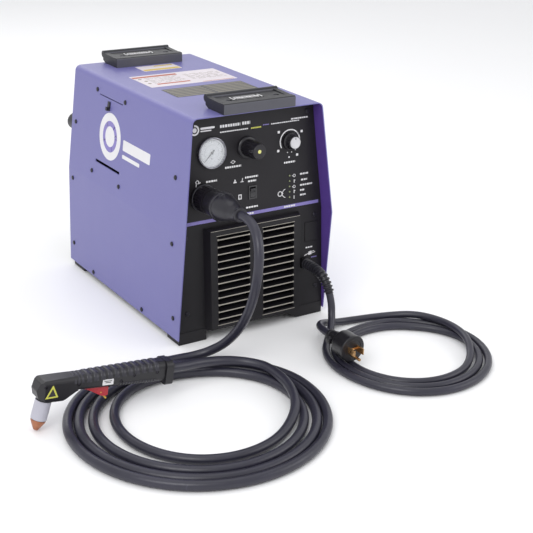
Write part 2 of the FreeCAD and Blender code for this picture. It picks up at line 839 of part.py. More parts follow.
def cord_tube(name, points, radius):
    # straight runs joined by tangent arcs, each as large as its two runs allow
    edges = []
    at = points[0]
    length = 0.0
    for i in range(1, len(points) - 1):
        before, corner, after = points[i - 1], points[i], points[i + 1]
        shorter = min((corner - before).Length, (after - corner).Length)
        turn = math.pi - (before - corner).getAngle(after - corner)
        arc_radius = 0.45 * shorter / math.tan(turn / 2)
        start, middle, end = bend(before, corner, after, arc_radius)
        edges.append(Part.LineSegment(at, start).toShape())
        edges.append(Part.Arc(start, middle, end).toShape())
        length += (start - at).Length + arc_radius * turn
        at = end
        print(name, i, "radius", round(arc_radius, 1), "in diameters", round(arc_radius / radius / 2, 1))
    edges.append(Part.LineSegment(at, points[-1]).toShape())
    length += (points[-1] - at).Length
    profile = Part.Wire([Part.makeCircle(radius, points[0], points[1] - points[0])])
    solid = Part.Wire(edges).makePipeShell([profile], True, False)
    print(name, "length", round(length, 1), "volume ratio", round(solid.Volume / (math.pi * radius ** 2 * length), 4))
    return solid


boot_exit = panel_point(socket_x, socket_z, boot_end)
torch_lead_route = [
    boot_exit, boot_exit + panel_out * 14.0, vec(-91, -131, 240.5), vec(-94.5, -149.5, 228), vec(-98.5, -161.5, 207.5),
    vec(-101.5, -164.5, 182.5), vec(-102, -159.5, 154), vec(-99.5, -147, 126), vec(-97.5, -131, 98), vec(-97, -113, 72),
    vec(-99.5, -94, 48.5), vec(-107, -77, 29), vec(-121, -62.5, 15.5), vec(-142, -53, 8.5), vec(-166, -47.5, 7.25),
    vec(-190, -45.5, 7.25)]


def ring_solid(centre, outer, hole_centre, inner, height):
    return rod(outer, centre, centre + ez * height).cut(rod(inner, hole_centre, hole_centre + ez * height))


torch_coil_centre = vec(-228, -213, 0)
torch_coil_outer = 197.0
torch_coil_inner = 106.0
torch_coil_height = 14.8


def make_torch_coil():
    # flat loose coil, two cables high only at its right end where the turns cross
    flat = ring_solid(torch_coil_centre, torch_coil_outer, torch_coil_centre, torch_coil_inner, torch_coil_height)
    high = ring_solid(torch_coil_centre, torch_coil_outer, torch_coil_centre, torch_coil_inner + 22, 2 * torch_coil_height)
    wedge = [torch_coil_centre, torch_coil_centre + vec(260, -195, 0), torch_coil_centre + vec(260, 120, 0)]
    return fused([flat, high.common(prism(wedge, vec(0, 0, 60)))])


power_coil_centre = vec(150, -203, 0)
power_coil_outer = 148.0
power_coil_inner = 87.0
power_coil_height = 12.3

plug_face = vec(54, -198, plug_radius + power_coil_height)
plug_tail = plug_face + ey * (plug_length + plug_clamp_length)


def make_power_coil():
    # one cord high, and two where the last turn crosses over the others
    flat = ring_solid(power_coil_centre, power_coil_outer, power_coil_centre, power_coil_inner, power_coil_height)
    high = ring_solid(power_coil_centre, power_coil_outer, power_coil_centre, power_coil_inner + 8, 2 * power_coil_height)
    wedge = [power_coil_centre, power_coil_centre + vec(200, -180, 0), power_coil_centre + vec(240, 0, 0),
             power_coil_centre + vec(130, 200, 0)]
    return fused([flat, high.common(prism(wedge, vec(0, 0, 60)))])


relief_down = unit(vec(1, -7, -17))
relief_end = vec(105, -62, 66)
relief_points = [panel_point(gland_x, gland_z, gland_length), panel_point(gland_x, gland_z, 42.0),
                 relief_end - relief_down * 18.4, relief_end]
power_lead_route = [
    relief_end, relief_end + relief_down * 16.5, vec(103.3, -73.5, 33.5), vec(96.3, -84, 20.5), vec(84.3, -96.3, 12),
    vec(68.5, -111.5, 8.0), vec(52, -130, 6.3), vec(39, -153, 6), vec(31, -179, 6), vec(28.5, -206, 6)]
power_tail_route = [
    plug_tail, plug_tail + ey * 15.0, vec(57.5, -107.5, 33), vec(67, -91, 29), vec(81, -76.5, 23), vec(98, -66, 16),
    vec(117, -60, 10), vec(137, -58.5, 6.5), vec(157, -61.5, 6)]


def make_power_cord():
    return Part.makeCompound([cord_tube("power lead", power_lead_route, cord_radius),
                              cord_tube("power tail", power_tail_route, cord_radius)])


def make_cord_gland():
    nut = [vec(gland_nut * math.cos(math.radians(60 * i)), gland_nut * math.sin(math.radians(60 * i)), 0)
           for i in range(6)]
    parts = [prism(nut, vec(0, 0, gland_length)), rod(gland_nut - 2.4, vec(0, 0, -18), vec(0, 0, 1)),
             rod(gland_nut + 1.5, vec(0, 0, -10), vec(0, 0, -moulding_wall - 0.2))]
    bore = rod(cord_radius, vec(0, 0, -19), vec(0, 0, gland_length + 1))
    return on_panel(fused(parts).cut(bore), gland_x, gland_z)


def make_cord_relief():
    start, second, third, end = relief_points
    path = []
    at = start
    for before, corner, after in ((start, second, third), (second, third, end)):
        shorter = min((corner - before).Length, (after - corner).Length)
        turn = math.pi - (before - corner).getAngle(after - corner)
        first, middle, last = bend(before, corner, after, 0.45 * shorter / math.tan(turn / 2))
        path.append(Part.LineSegment(at, first).toShape())
        path.append(Part.Arc(first, middle, last).toShape())
        at = last
    path.append(Part.LineSegment(at, end).toShape())
    profile = Part.Wire([Part.makeCircle(relief_radius, start, second - start)])
    return Part.Wire(path).makePipeShell([profile], True, False)


def make_plug_body():
    # round moulded plug lying on its side, blades towards the front
    behind = plug_face + ey * plug_length
    shell = rod(plug_radius - 0.3, plug_face, behind - ey * 6)
    shoulder = cone(plug_radius - 0.3, 15.0, behind - ey * 6, behind)
    slots = [block(plug_face.x + x - 1.2, plug_face.x + x + 1.2, plug_face.y - 1, plug_face.y + 12,
                   plug_face.z - 5.5, plug_face.z + 5.5) for x in (-8, 8)]
    earth = rod(2.6, plug_face + vec(0, -1, -11), plug_face + vec(0, 12, -11))
    return fused([shell, shoulder]).cut(slots + [earth])


def make_plug_blades():
    blades = [block(plug_face.x + x - 0.9, plug_face.x + x + 0.9, plug_face.y - 16, plug_face.y + 11,
                    plug_face.z - 5, plug_face.z + 5) for x in (-8, 8)]
    blades.append(rod(2.4, plug_face + vec(0, -18, -11), plug_face + vec(0, 11, -11)))
    return Part.makeCompound(blades)


def make_plug_clamp():
    start = plug_face + ey * plug_length
    body = cone(13.0, 9.0, start, plug_tail - ey * 5)
    lip = rod(9.6, plug_tail - ey * 5, plug_tail)
    return fused([body, lip])


# Rear and inside ----------------------------------------------------------------------------------------------------

def make_fan_guard():
    y = case_depth - rear_recess
    rings = []
    for radius in (14.0, 26.0, 38.0, 50.0, fan_radius + fan_clearance):
        rings.append(tube(radius + guard_wire / 2, radius - guard_wire / 2, vec(fan_x, y, fan_z),
                          vec(fan_x, y + guard_wire, fan_z)))
    reach = fan_radius + fan_clearance + 6
    bars = []
    for angle in (45, 135):
        bar = block(-reach - 4, reach + 4, 0, guard_wire, -1.6, 1.6)
        bar.rotate(vec(0, 0, 0), ey, angle)
        bar.translate(vec(fan_x, y, fan_z))
        bars.append(bar)
    tabs = [rod(screw_head + 1.2, vec(x, y, z), vec(x, y + guard_wire, z)) for x, z in fan_screw_points()]
    guard = fused(rings + bars + tabs)
    holes = [rod(screw_hole, vec(x, y - 1, z), vec(x, y + 5, z)) for x, z in fan_screw_points()]
    return guard.cut(holes)


fan_back = case_depth - rear_recess - panel_sheet - 4.0


def make_fan_shroud():
    y1 = case_depth - rear_recess - panel_sheet - 0.2
    y0 = y1 - 30
    outer = fan_radius + fan_clearance + 3
    side = fan_radius + fan_clearance + 2.5
    plate = block(fan_x - side, fan_x + side, y1 - 3, y1, fan_z - side, fan_z + side)
    ring = rod(outer, vec(fan_x, y0, fan_z), vec(fan_x, y1, fan_z))
    bore = rod(fan_radius + fan_clearance, vec(fan_x, y0 - 1, fan_z), vec(fan_x, y1 + 1, fan_z))
    body = fused([plate, ring]).cut(bore)
    struts = []
    for angle in (45, 135):
        bar = block(-outer + 1, outer - 1, 0, 4, -4, 4)
        bar.rotate(vec(0, 0, 0), ey, angle)
        bar.translate(vec(fan_x, y0, fan_z))
        struts.append(bar)
    seat = rod(19.5, vec(fan_x, y0, fan_z), vec(fan_x, y0 + 4, fan_z))
    hole = rod(17.0, vec(fan_x, y0 - 1, fan_z), vec(fan_x, y0 + 5, fan_z))
    screws = [rear_drill(screw_hole, x, z, -60, 5) for x, z in fan_screw_points()]
    return fused([body, seat] + struts).cut([hole] + screws)


motor_front = case_depth - rear_recess - panel_sheet - 0.2 - 62.0
motor_length = 38.0


def make_fan_motor():
    start = vec(fan_x, motor_front, fan_z)
    end = start + ey * motor_length
    shaft_end = end + ey * (fan_thickness + 4)
    return fused([rod(17.0, start, end), rod(2.5, end - ey, shaft_end)])


def make_fan_blades():
    y0 = motor_front + motor_length + 1.5
    hub = rod(fan_hub, vec(fan_x, y0, fan_z), vec(fan_x, y0 + fan_thickness, fan_z))
    blades = []
    for i in range(fan_blades):
        blade = block(fan_hub - 3, fan_radius - 1.5, -1.0, 1.0, -9.0, 9.0)
        blade.rotate(vec(0, 0, 0), ex, 62)
        blade.rotate(vec(0, 0, 0), ey, i * 360.0 / fan_blades)
        blade.translate(vec(fan_x, y0 + fan_thickness / 2, fan_z))
        blades.append(blade)
    bore = rod(2.5 + running_gap, vec(fan_x, y0 - 1, fan_z), vec(fan_x, y0 + fan_thickness + 1, fan_z))
    return fused([hub] + blades).cut(bore)


def make_air_inlet():
    y = case_depth - rear_recess
    end = case_depth + inlet_reach
    parts = [rod(inlet_radius + 1.8, vec(inlet_x, y, inlet_z), vec(inlet_x, y + 4, inlet_z)),
             rod(inlet_radius, vec(inlet_x, y + 4, inlet_z), vec(inlet_x, end - 9, inlet_z)),
             cone(inlet_radius, inlet_radius - 5, vec(inlet_x, end - 9, inlet_z), vec(inlet_x, end, inlet_z)),
             rod(inlet_radius - 3.4, vec(inlet_x, y - 26, inlet_z), vec(inlet_x, y + 1, inlet_z))]
    thread = rod(inlet_thread_radius, vec(inlet_x, end - inlet_thread_depth, inlet_z), vec(inlet_x, end + 1, inlet_z))
    return fused(parts).cut(thread)


def make_heat_sink():
    x0, y0, z0 = -112.0, 150.0, pan_height + pan_sheet + 6
    y1 = case_depth - rear_recess - heat_sink_rear_gap
    base = block(x0, x0 + 60, y0, y1, z0, z0 + 8)
    fins = [block(x0 + i * 6.5, x0 + i * 6.5 + 2, y0, y1, z0 + 7, z0 + 60) for i in range(10)]
    legs = [block(x0 + 4, x0 + 10, y, y + 8, z0 - 6, z0 + 1) for y in (y0, y1 - 8)]
    legs += [block(x0 + 48, x0 + 54, y, y + 8, z0 - 6, z0 + 1) for y in (y0, y1 - 8)]
    return fused([base] + fins + legs)


def make_transformer():
    x0, y0, z0 = -20.0, 170.0, pan_height + pan_sheet
    frame = block(x0, x0 + 96, y0, y0 + 50, z0, z0 + 84)
    windows = [block(x0 + x, x0 + x + 20, y0 - 1, y0 + 51, z0 + 18, z0 + 66) for x in (18, 58)]
    core = frame.cut(windows)
    winding = block(x0 + 20, x0 + 76, y0 - 16, y0 + 66, z0 + 19, z0 + 65)
    passage = block(x0 + 37.8, x0 + 58.2, y0 - 0.2, y0 + 50.2, z0 + 15, z0 + 70)
    return fused([core, winding.cut(passage)])


def make_capacitors():
    cans = []
    for i in range(3):
        centre = vec(-86.0 + i * 38.0, 90.0, pan_height + pan_sheet)
        cans.append(rod(16.0, centre, centre + ez * 70.0))
    return Part.makeCompound(cans)


# Torch --------------------------------------------------------------------------------------------------------------
# Local frame: x from the rear end of the handle towards the head, y to the left of that, z up.

torch_rear = vec(-228, -125, 40.5)
torch_head_axis = vec(-424, -131, 68.5)
torch_forward = unit(torch_head_axis - torch_rear)
torch_side = unit(ez.cross(torch_forward))
torch_upward = torch_forward.cross(torch_side)


def on_torch(shape):
    return placed(shape, torch_rear, torch_forward, torch_side, torch_upward)


def torch_point(x, y, z):
    return torch_rear + torch_forward * x + torch_side * y + torch_upward * z


def torch_section(x, half, low, high, low_radius, high_radius):
    corners = [vec(x, -half, low), vec(x, half, low), vec(x, half, high), vec(x, -half, high)]
    return outline(corners, [low_radius, low_radius, high_radius, high_radius])


def torch_solid(shrink):
    # slowly tapering rounded handle joined to a drop-nosed head, moved inwards by shrink
    s = shrink
    width = torch_width / 2 - s
    nose = torch_length + head_half_length
    handle = Part.makeLoft([torch_section(s, width, -13.9 + s, 16.4 - s, 6 - s, 9 - s),
                            torch_section(160, width, -10.2 + s, 10.0 - s, 5 - s, 8 - s)], True, True)
    side = [vec(150, 0, -10.4 + s), vec(150, 0, 10.4 - s), vec(nose - 10, 0, 8.4 - s), vec(nose - 4 - s, 0, 5 - s / 2),
            vec(nose + 0.5 - s, 0, -6), vec(nose - 3 - s, 0, -head_drop + 5 + s / 2),
            vec(nose - 19, 0, -head_drop + s), vec(173 + s / 2, 0, -head_drop - 1 + s), vec(152 + s / 2, 0, -10.4 + s)]
    profile = prism([p + vec(0, -30, 0) for p in side], vec(0, 60, 0), [0, 0, 5, 3, 4, 4, 4, 4, 6])
    plan = [vec(145, -width, -60), vec(nose - 10, -width, -60), vec(nose + 3, -width + 7, -60),
            vec(nose + 3, width - 7, -60), vec(nose - 10, width, -60), vec(145, width, -60)]
    seen = prism(plan, vec(0, 0, 120), [0, 3, 0, 0, 3, 0])
    round_nose = prism([vec(145, -width, -head_drop - 1 + s), vec(145, width, -head_drop - 1 + s),
                        vec(145, width, 10.6 - s), vec(145, -width, 10.6 - s)], vec(90, 0, 0), [4, 4, 8 - s, 8 - s])
    return fused([handle, profile.common(seen).common(round_nose)])


def torch_flange():
    # wider rim at the rear end, with its top corner taken off
    rim = Part.Face(torch_section(0, torch_flare, -torch_flare - 2.5, torch_flare, 4, 8)).extrude(vec(12, 0, 0))
    corner = prism([vec(-1, -30, torch_flare - 4), vec(4, -30, torch_flare + 1), vec(-1, -30, torch_flare + 1)], vec(0, 60, 0))
    return rim.cut(corner)


def trigger_well():
    return block(trigger_rear - 3, trigger_front + 5, -trigger_width / 2 - body_gap - 0.2,
                 trigger_width / 2 + body_gap + 0.2, -torch_half_height - 5, -torch_half_height + 9)


def cup_axis():
    lean = math.radians(cup_lean)
    return vec(math.sin(lean), 0, -math.cos(lean))


cup_start = vec(torch_length, 0, -head_drop + 4)


def torch_screw_points():
    return [(26.0, 3.0), (64.0, 2.5), (84.0, -4.0), (150.0, -1.0), (199.0, 0.5)]


def torch_shell():
    outer = torch_solid(0)
    inner = torch_solid(torch_wall)
    shell = fused([outer, torch_flange()]).cut(inner)
    cuts = [trigger_well(), rod(torch_cable_radius + 0.1, vec(-2, 0, 0), vec(8, 0, 0)),
            rod(10.4, cup_start - cup_axis() * 12, cup_start + cup_axis() * 30)]
    bosses = []
    for x, z in torch_screw_points():
        bosses.append(rod(3.0, vec(x, -torch_width / 2 + 1, z), vec(x, torch_width / 2 - 1, z)))
        cuts.append(rod(1.3, vec(x, -30, z), vec(x, 30, z)))
        cuts.append(rod(2.6, vec(x, 30, z), vec(x, torch_width / 2 - 1.5, z)))
    for side in (-1, 1):
        ear_y = side * (trigger_width / 2 + body_gap + 0.2)
        bosses.append(rod(3.2, vec(trigger_front, ear_y, -torch_half_height + 4.5),
                          vec(trigger_front, ear_y + side * 3, -torch_half_height + 4.5)))
        y0, y1 = sorted((side * 4.0, side * torch_width / 2))
        bosses.append(block(108, 120, y0, y1, -2, 4))
    bosses = [boss.common(outer) for boss in bosses]
    return fused([shell] + bosses).cut(cuts)


def make_torch_shell(side):
    whole = torch_shell()
    keep = block(-20, 260, 0.02 if side > 0 else -60, 60 if side > 0 else -0.02, -80, 80)
    pin_hole = rod(trigger_pin + running_gap, vec(trigger_front, -8.5, trigger_pivot_z),
                   vec(trigger_front, 8.5, trigger_pivot_z))
    return on_torch(whole.common(keep).cut(pin_hole))


trigger_pivot_z = -torch_half_height + 4.5


def make_torch_head():
    axis = cup_axis()
    body = rod(10.0, cup_start - axis * 11, cup_start + axis * 14)
    return on_torch(body.cut(rod(4.2, cup_start - axis * 2, cup_start + axis * 16)))


def make_shield_cup():
    axis = cup_axis()
    start = cup_start + axis * 5
    end = start + axis * cup_length
    outer = fused([rod(cup_radius, start, end - axis * 1.2), cone(cup_radius, cup_radius - 0.8, end - axis * 1.2, end)])
    cavity = fused([rod(10.0 + 0.1, start - axis, start + axis * (cup_length - 8)),
                    rod(tip_radius + 0.1, start, end + axis)])
    return on_torch(outer.cut(cavity))


def make_cutting_tip():
    # shank held in the cup, and a crown as wide as the cup that narrows to the orifice
    axis = cup_axis()
    end = cup_start + axis * (5 + cup_length)
    parts = [rod(tip_radius, end - axis * 7, end + axis * 0.5), rod(cup_radius - 0.9, end + axis * 0.2, end + axis * 2.5),
             cone(cup_radius - 0.9, cup_radius - 2.6, end + axis * 2.5, end + axis * 6),
             cone(cup_radius - 2.6, 3.4, end + axis * 6, end + axis * tip_length)]
    orifice = rod(0.7, end - axis * 9, end + axis * 40)
    chamber = rod(5.0, end - axis * 8, end - axis * 1)
    return on_torch(fused(parts).cut([orifice, chamber]))


def make_electrode():
    axis = cup_axis()
    start = cup_start - axis * 1.5
    return on_torch(fused([rod(4.1, start, start + axis * 22), rod(3.4, start + axis * 22, start + axis * 32)]))


def make_trigger():
    half = trigger_width / 2
    top = -torch_half_height + 1.0
    points = [vec(trigger_rear, -half, top - 3), vec(trigger_rear, -half, top - trigger_drop + 1.5),
              vec(trigger_rear + 3, -half, top - trigger_drop), vec(trigger_rear + 10, -half, top - trigger_drop + 1),
              vec(trigger_front - 11, -half, top - 6.5), vec(trigger_front + 3, -half, top - 0.5),
              vec(trigger_front + 3, -half, top + 6), vec(trigger_front - 4, -half, top + 6),
              vec(trigger_front - 10, -half, top), vec(trigger_rear + 8, -half, top - 2)]
    lever = prism(points, vec(0, trigger_width, 0))
    pin = rod(trigger_pin, vec(trigger_front, -half - 3, trigger_pivot_z), vec(trigger_front, half + 3, trigger_pivot_z))
    x, z = trigger_rear + lock_setback, top - lock_drop
    slot = block(trigger_rear - 1, x + 2.4, -2.4, 2.4, top - trigger_drop - 6, z + 2.4)
    lock_hole = rod(1.0 + running_gap, vec(x, -half - 1, z), vec(x, half + 1, z))
    return on_torch(fused([lever, pin]).cut([slot, lock_hole]))


lock_pivot = vec(trigger_rear + lock_setback, 0, -torch_half_height + 1.0 - lock_drop)


def make_trigger_lock():
    x, z = lock_pivot.x, lock_pivot.z
    points = [vec(x - 1.8, -1.9, z + 0.4), vec(x - 11.2, -1.9, z - 10.6), vec(x - 9.8, -1.9, z - 12.2),
              vec(x + 0.6, -1.9, z - 1.8)]
    arm = prism(points, vec(0, 3.8, 0))
    hub = rod(2.0, vec(x, -1.9, z), vec(x, 1.9, z))
    pin = rod(1.0, vec(x, -trigger_width / 2 + 0.2, z), vec(x, trigger_width / 2 - 0.2, z))
    return on_torch(fused([arm, hub, pin]))


def make_torch_switch():
    return on_torch(fused([block(104, 124, -4, 4, -3, 6), block(106, 109, -1.5, 1.5, -4.5, -2.5)]))


def make_torch_screws():
    screws = []
    for x, z in torch_screw_points():
        seat = vec(x, torch_width / 2 - 1.5, z)
        screws.append(bolt(seat, ey, 12.0, 1.2, 2.4, 1.4))
    return on_torch(Part.makeCompound(screws))


torch_tail_route = [
    torch_rear + torch_forward * 4.0, torch_rear - torch_forward * 22.0, vec(-179, -120.5, 34), vec(-154, -117, 29.5),
    vec(-129, -118, 25.5), vec(-106.5, -127, 22.8), vec(-89, -143.5, 21.8), vec(-77.5, -166, 21.8)]


def make_torch_cable():
    return Part.makeCompound([cord_tube("torch lead", torch_lead_route, torch_cable_radius),
                              cord_tube("torch tail", torch_tail_route, torch_cable_radius)])


# All pieces ---------------------------------------------------------------------------------------------------------

def all_pieces():
    return {
        "wrapper_cover": make_cover(), "base_pan": make_base_pan(), "front_panel": make_front_panel(),
        "lower_front": make_lower_front(), "rear_panel": make_rear_panel(), "rear_feet": make_rear_feet(),
        "front_handle": make_handle(-front_handle_forward), "rear_handle": make_handle(rear_handle_start),
        "handle_screws": make_handle_screws(), "side_screws": make_side_screws(),
        "front_screws": make_front_screws(), "rear_screws": make_rear_screws(),
        "blank_plate": make_blank_plate(), "hanger_latch": make_hanger_latch(),
        "gauge_case": make_gauge_case(), "gauge_dial": make_gauge_dial(), "gauge_needle": make_gauge_needle(),
        "gauge_lens": make_gauge_lens(), "regulator_body": make_regulator_body(),
        "regulator_spindle": make_regulator_spindle(), "regulator_knob": make_regulator_knob(),
        "output_pot": make_output_pot(), "output_knob": make_output_knob(), "mode_switch": make_mode_switch(),
        "mode_rocker": make_mode_rocker(), "status_leds": make_status_leds(), "control_board": make_control_board(),
        "torch_socket": make_torch_socket(), "lock_ring": make_lock_ring(), "connector_plug": make_connector_plug(),
        "torch_boot": make_torch_boot(), "torch_cable": make_torch_cable(), "torch_coil": make_torch_coil(),
        "torch_shell_left": make_torch_shell(1), "torch_shell_right": make_torch_shell(-1),
        "torch_head": make_torch_head(), "shield_cup": make_shield_cup(), "cutting_tip": make_cutting_tip(),
        "electrode": make_electrode(), "trigger": make_trigger(), "trigger_lock": make_trigger_lock(),
        "torch_switch": make_torch_switch(), "torch_screws": make_torch_screws(),
        "cord_gland": make_cord_gland(), "cord_relief": make_cord_relief(), "power_cord": make_power_cord(),
        "power_coil": make_power_coil(), "plug_body": make_plug_body(), "plug_blades": make_plug_blades(),
        "plug_clamp": make_plug_clamp(), "fan_shroud": make_fan_shroud(), "fan_motor": make_fan_motor(),
        "fan_blades": make_fan_blades(), "fan_guard": make_fan_guard(), "power_switch": make_power_switch(),
        "power_rocker": make_power_rocker(), "air_inlet": make_air_inlet(), "heat_sink": make_heat_sink(),
        "transformer": make_transformer(), "capacitors": make_capacitors()}


cord_pieces = ("torch_cable", "torch_coil", "power_cord", "power_coil", "plug_body", "plug_blades", "plug_clamp")


def footprint_shift(pieces):
    # moves the middle of everything but the free cords to x = y = 0
    bounds = FreeCAD.BoundBox()
    for name, shape in pieces.items():
        if name not in cord_pieces:
            bounds.add(shape.BoundBox)
    return vec(-bounds.Center.x, -bounds.Center.y, 0)


def joint_points():
    points = {
        "gauge_needle_turn": panel_point(gauge_x, gauge_z), "regulator_turn": panel_point(regulator_x, regulator_z),
        "output_knob_turn": panel_point(output_x, output_z), "lock_ring_turn": panel_point(socket_x, socket_z),
        "mode_rocker_tilt": panel_point(mode_x, mode_z, -1.0),
        "power_rocker_tilt": vec(mains_switch_x, case_depth - rear_recess - 1.0, mains_switch_z),
        "fan_spin": vec(fan_x, case_depth, fan_z), "trigger_pull": torch_point(trigger_front, 0, trigger_pivot_z),
        "trigger_lock_lift": torch_point(lock_pivot.x, 0, lock_pivot.z),
        "air_inlet": vec(inlet_x, case_depth + inlet_reach, inlet_z),
        "front_left_foot": vec(-(foot_inner + 20), panel_y(0) + foot_depth / 2, 0)}
    return points


def main():
    os.makedirs("parts", exist_ok=True)
    pieces = all_pieces()
    shift = footprint_shift(pieces)
    for name, shape in pieces.items():
        moved = shape.copy()
        moved.translate(shift)
        moved.exportStep("parts/" + name + ".step")
        solids = len(moved.Solids)
        print(name, "solids", solids, "valid", moved.isValid(), "volume", round(moved.Volume, 1))
    print("shift", round(shift.x, 3), round(shift.y, 3))
    for name, point in joint_points().items():
        spot = point + shift
        print("point", name, [round(v / 1000, 6) for v in (spot.x, spot.y, spot.z)])
    print("panel out", [round(v, 6) for v in panel_out], "torch side", [round(v, 6) for v in torch_side])


main()
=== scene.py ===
import json
import math
import random
import bpy
import bmesh
from mathutils import Matrix, Vector


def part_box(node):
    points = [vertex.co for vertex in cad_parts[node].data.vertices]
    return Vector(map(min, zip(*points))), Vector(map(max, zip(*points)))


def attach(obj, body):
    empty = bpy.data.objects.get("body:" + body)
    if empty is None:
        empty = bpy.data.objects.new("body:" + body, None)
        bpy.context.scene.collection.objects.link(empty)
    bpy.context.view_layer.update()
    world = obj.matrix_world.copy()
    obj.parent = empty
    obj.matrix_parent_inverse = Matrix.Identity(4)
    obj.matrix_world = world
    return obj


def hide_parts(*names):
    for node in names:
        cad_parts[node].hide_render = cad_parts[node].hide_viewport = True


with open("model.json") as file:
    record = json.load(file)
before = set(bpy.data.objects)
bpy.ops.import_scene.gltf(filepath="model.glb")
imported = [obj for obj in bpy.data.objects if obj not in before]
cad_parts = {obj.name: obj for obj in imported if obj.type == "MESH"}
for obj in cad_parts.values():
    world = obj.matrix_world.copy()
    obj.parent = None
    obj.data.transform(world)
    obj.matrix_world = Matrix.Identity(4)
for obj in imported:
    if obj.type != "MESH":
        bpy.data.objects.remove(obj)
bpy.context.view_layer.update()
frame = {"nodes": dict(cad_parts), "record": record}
print("frame loaded:", len(frame["nodes"]), "nodes")

# the case's own frame, in millimetres: x = 0 mid-width, y = 0 at the top of the cover's front edge, z = 0 on the floor
coverLow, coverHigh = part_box("wrapper_cover")
creaseForward = 14.0
caseOrigin = Vector(((coverLow[0] + coverHigh[0]) / 2, coverLow[1] + creaseForward / 1000, 0))
caseMatrix = Matrix.Translation(caseOrigin) @ Matrix.Scale(0.001, 4)
caseShape = {
    "height": 370.0,
    "depth": 418.0,
    "topHalfWidth": 118.5,
    "creaseHalfWidth": 138.5,
    "bottomHalfWidth": 141.5,
    "creaseHeight": 186.0,
    "coverBottom": 9.0,
    "panelRecess": 25.0,
    "panelLean": 0.055,
    "rearRecess": 8.0,
}
xUnit, yUnit, zUnit = Vector((1, 0, 0)), Vector((0, 1, 0)), Vector((0, 0, 1))
panelOut = Vector((0, -1, caseShape["panelLean"])).normalized()
panelUp = Vector((0, caseShape["panelLean"], 1)).normalized()


def case(x, y, z):
    return caseMatrix @ Vector((x, y, z))


def panelY(z):
    return caseShape["panelRecess"] - caseShape["panelLean"] * (caseShape["height"] - z)


def panelPoint(x, z, out=0.0):
    return Vector((x, panelY(z), z)) + panelOut * out


def axesMatrix(origin, xAxis, yAxis, zAxis):
    spin = Matrix((xAxis, yAxis, zAxis)).transposed().to_4x4()
    return caseMatrix @ Matrix.Translation(origin) @ spin


def onPanel(x, z, out=0.0):
    # x to the right, y up the panel, z out of it
    return axesMatrix(panelPoint(x, z, out), xUnit, panelUp, panelOut)


def onRear(x, z, out=0.0):
    origin = Vector((x, caseShape["depth"] - caseShape["rearRecess"] + out, z))
    return axesMatrix(origin, -xUnit, zUnit, yUnit)


def onTop(x, y, out=0.0):
    return axesMatrix(Vector((x, y, caseShape["height"] + out)), xUnit, yUnit, zUnit)


def sideFlat(z):
    # the flat of the side at this height: half width below and above, height below and above
    if z >= caseShape["creaseHeight"]:
        return [caseShape[k] for k in ("creaseHalfWidth", "topHalfWidth", "creaseHeight", "height")]
    return [caseShape[k] for k in ("bottomHalfWidth", "creaseHalfWidth", "coverBottom", "creaseHeight")]


def onSide(y, z, side):
    # x runs to the right for someone facing that side
    wide, narrow, low, high = sideFlat(z)
    normal = Vector((side * (high - low), 0, wide - narrow)).normalized()
    halfWidth = wide + (narrow - wide) * (z - low) / (high - low)
    sideRight = yUnit * side
    return axesMatrix(Vector((side * halfWidth, y, z)), sideRight, normal.cross(sideRight), normal)


def newObject(name, data):
    made = bpy.data.objects.new(name, data)
    bpy.context.scene.collection.objects.link(made)
    return made


# camera and studio
cameraSettings = {
    "place": (-941.3, -1457.8, 810.7),
    "yaw": 33.43,
    "pitch": 21.93,
    "roll": 1.71,
    "lens": 78.05,
    "sensor": 36.0,
    "clip": (0.05, 50),
}
studio = {
    "skyColour": (0.98, 0.985, 1.0),
    "skyStrength": 0.86,
    "floorColour": (0.955, 0.955, 0.96),
    "floorSize": 6.0,
    "floorDrop": 0.0006,
    "lights": {  # place, target, size, power
        "keyLight": ((-1.6, -1.5, 1.9), (0, 0, 0.15), (1.4, 1.4), 26.0),
        "fillLight": ((1.9, -1.6, 1.2), (0.1, -0.1, 0.2), (1.6, 1.2), 10.0),
        "topLight": ((0.1, 0.1, 2.6), (0.05, 0, 0), (2.0, 2.0), 8.0),
        "rearLight": ((0.4, 2.2, 1.6), (0.1, 0.2, 0.2), (1.8, 1.2), 8.0),
    },
}


def makeCamera(settings):
    yaw, pitch, roll = (math.radians(settings[k]) for k in ("yaw", "pitch", "roll"))
    right = Vector((math.cos(yaw), -math.sin(yaw), 0))
    forward = Vector((math.sin(yaw) * math.cos(pitch), math.cos(yaw) * math.cos(pitch), -math.sin(pitch)))
    up = right.cross(forward)
    rolledRight = right * math.cos(roll) + up * math.sin(roll)
    rolledUp = up * math.cos(roll) - right * math.sin(roll)
    data = bpy.data.cameras.new("productCamera")
    data.lens, data.sensor_width = settings["lens"], settings["sensor"]
    data.clip_start, data.clip_end = settings["clip"]
    camera = newObject("productCamera", data)
    turn = Matrix((rolledRight, rolledUp, -forward)).transposed().to_4x4()
    camera.matrix_world = Matrix.Translation(case(*settings["place"])) @ turn
    bpy.context.scene.camera = camera


def makeAreaLight(name, place, target, size, power):
    data = bpy.data.lights.new(name, "AREA")
    data.shape = "RECTANGLE"
    data.size, data.size_y = size
    data.energy = power
    lamp = newObject(name, data)
    lamp.location = place
    lamp.rotation_euler = (Vector(target) - Vector(place)).to_track_quat("-Z", "Y").to_euler()


makeCamera(cameraSettings)
for lightName, lightFacts in studio["lights"].items():
    makeAreaLight(lightName, *lightFacts)
world = bpy.data.worlds.new("studioWorld")
bpy.context.scene.world = world
world.use_nodes = True
sky = world.node_tree.nodes["Background"]
sky.inputs["Color"].default_value = (*studio["skyColour"], 1)
sky.inputs["Strength"].default_value = studio["skyStrength"]
bpy.context.scene.view_settings.view_transform = "Standard"


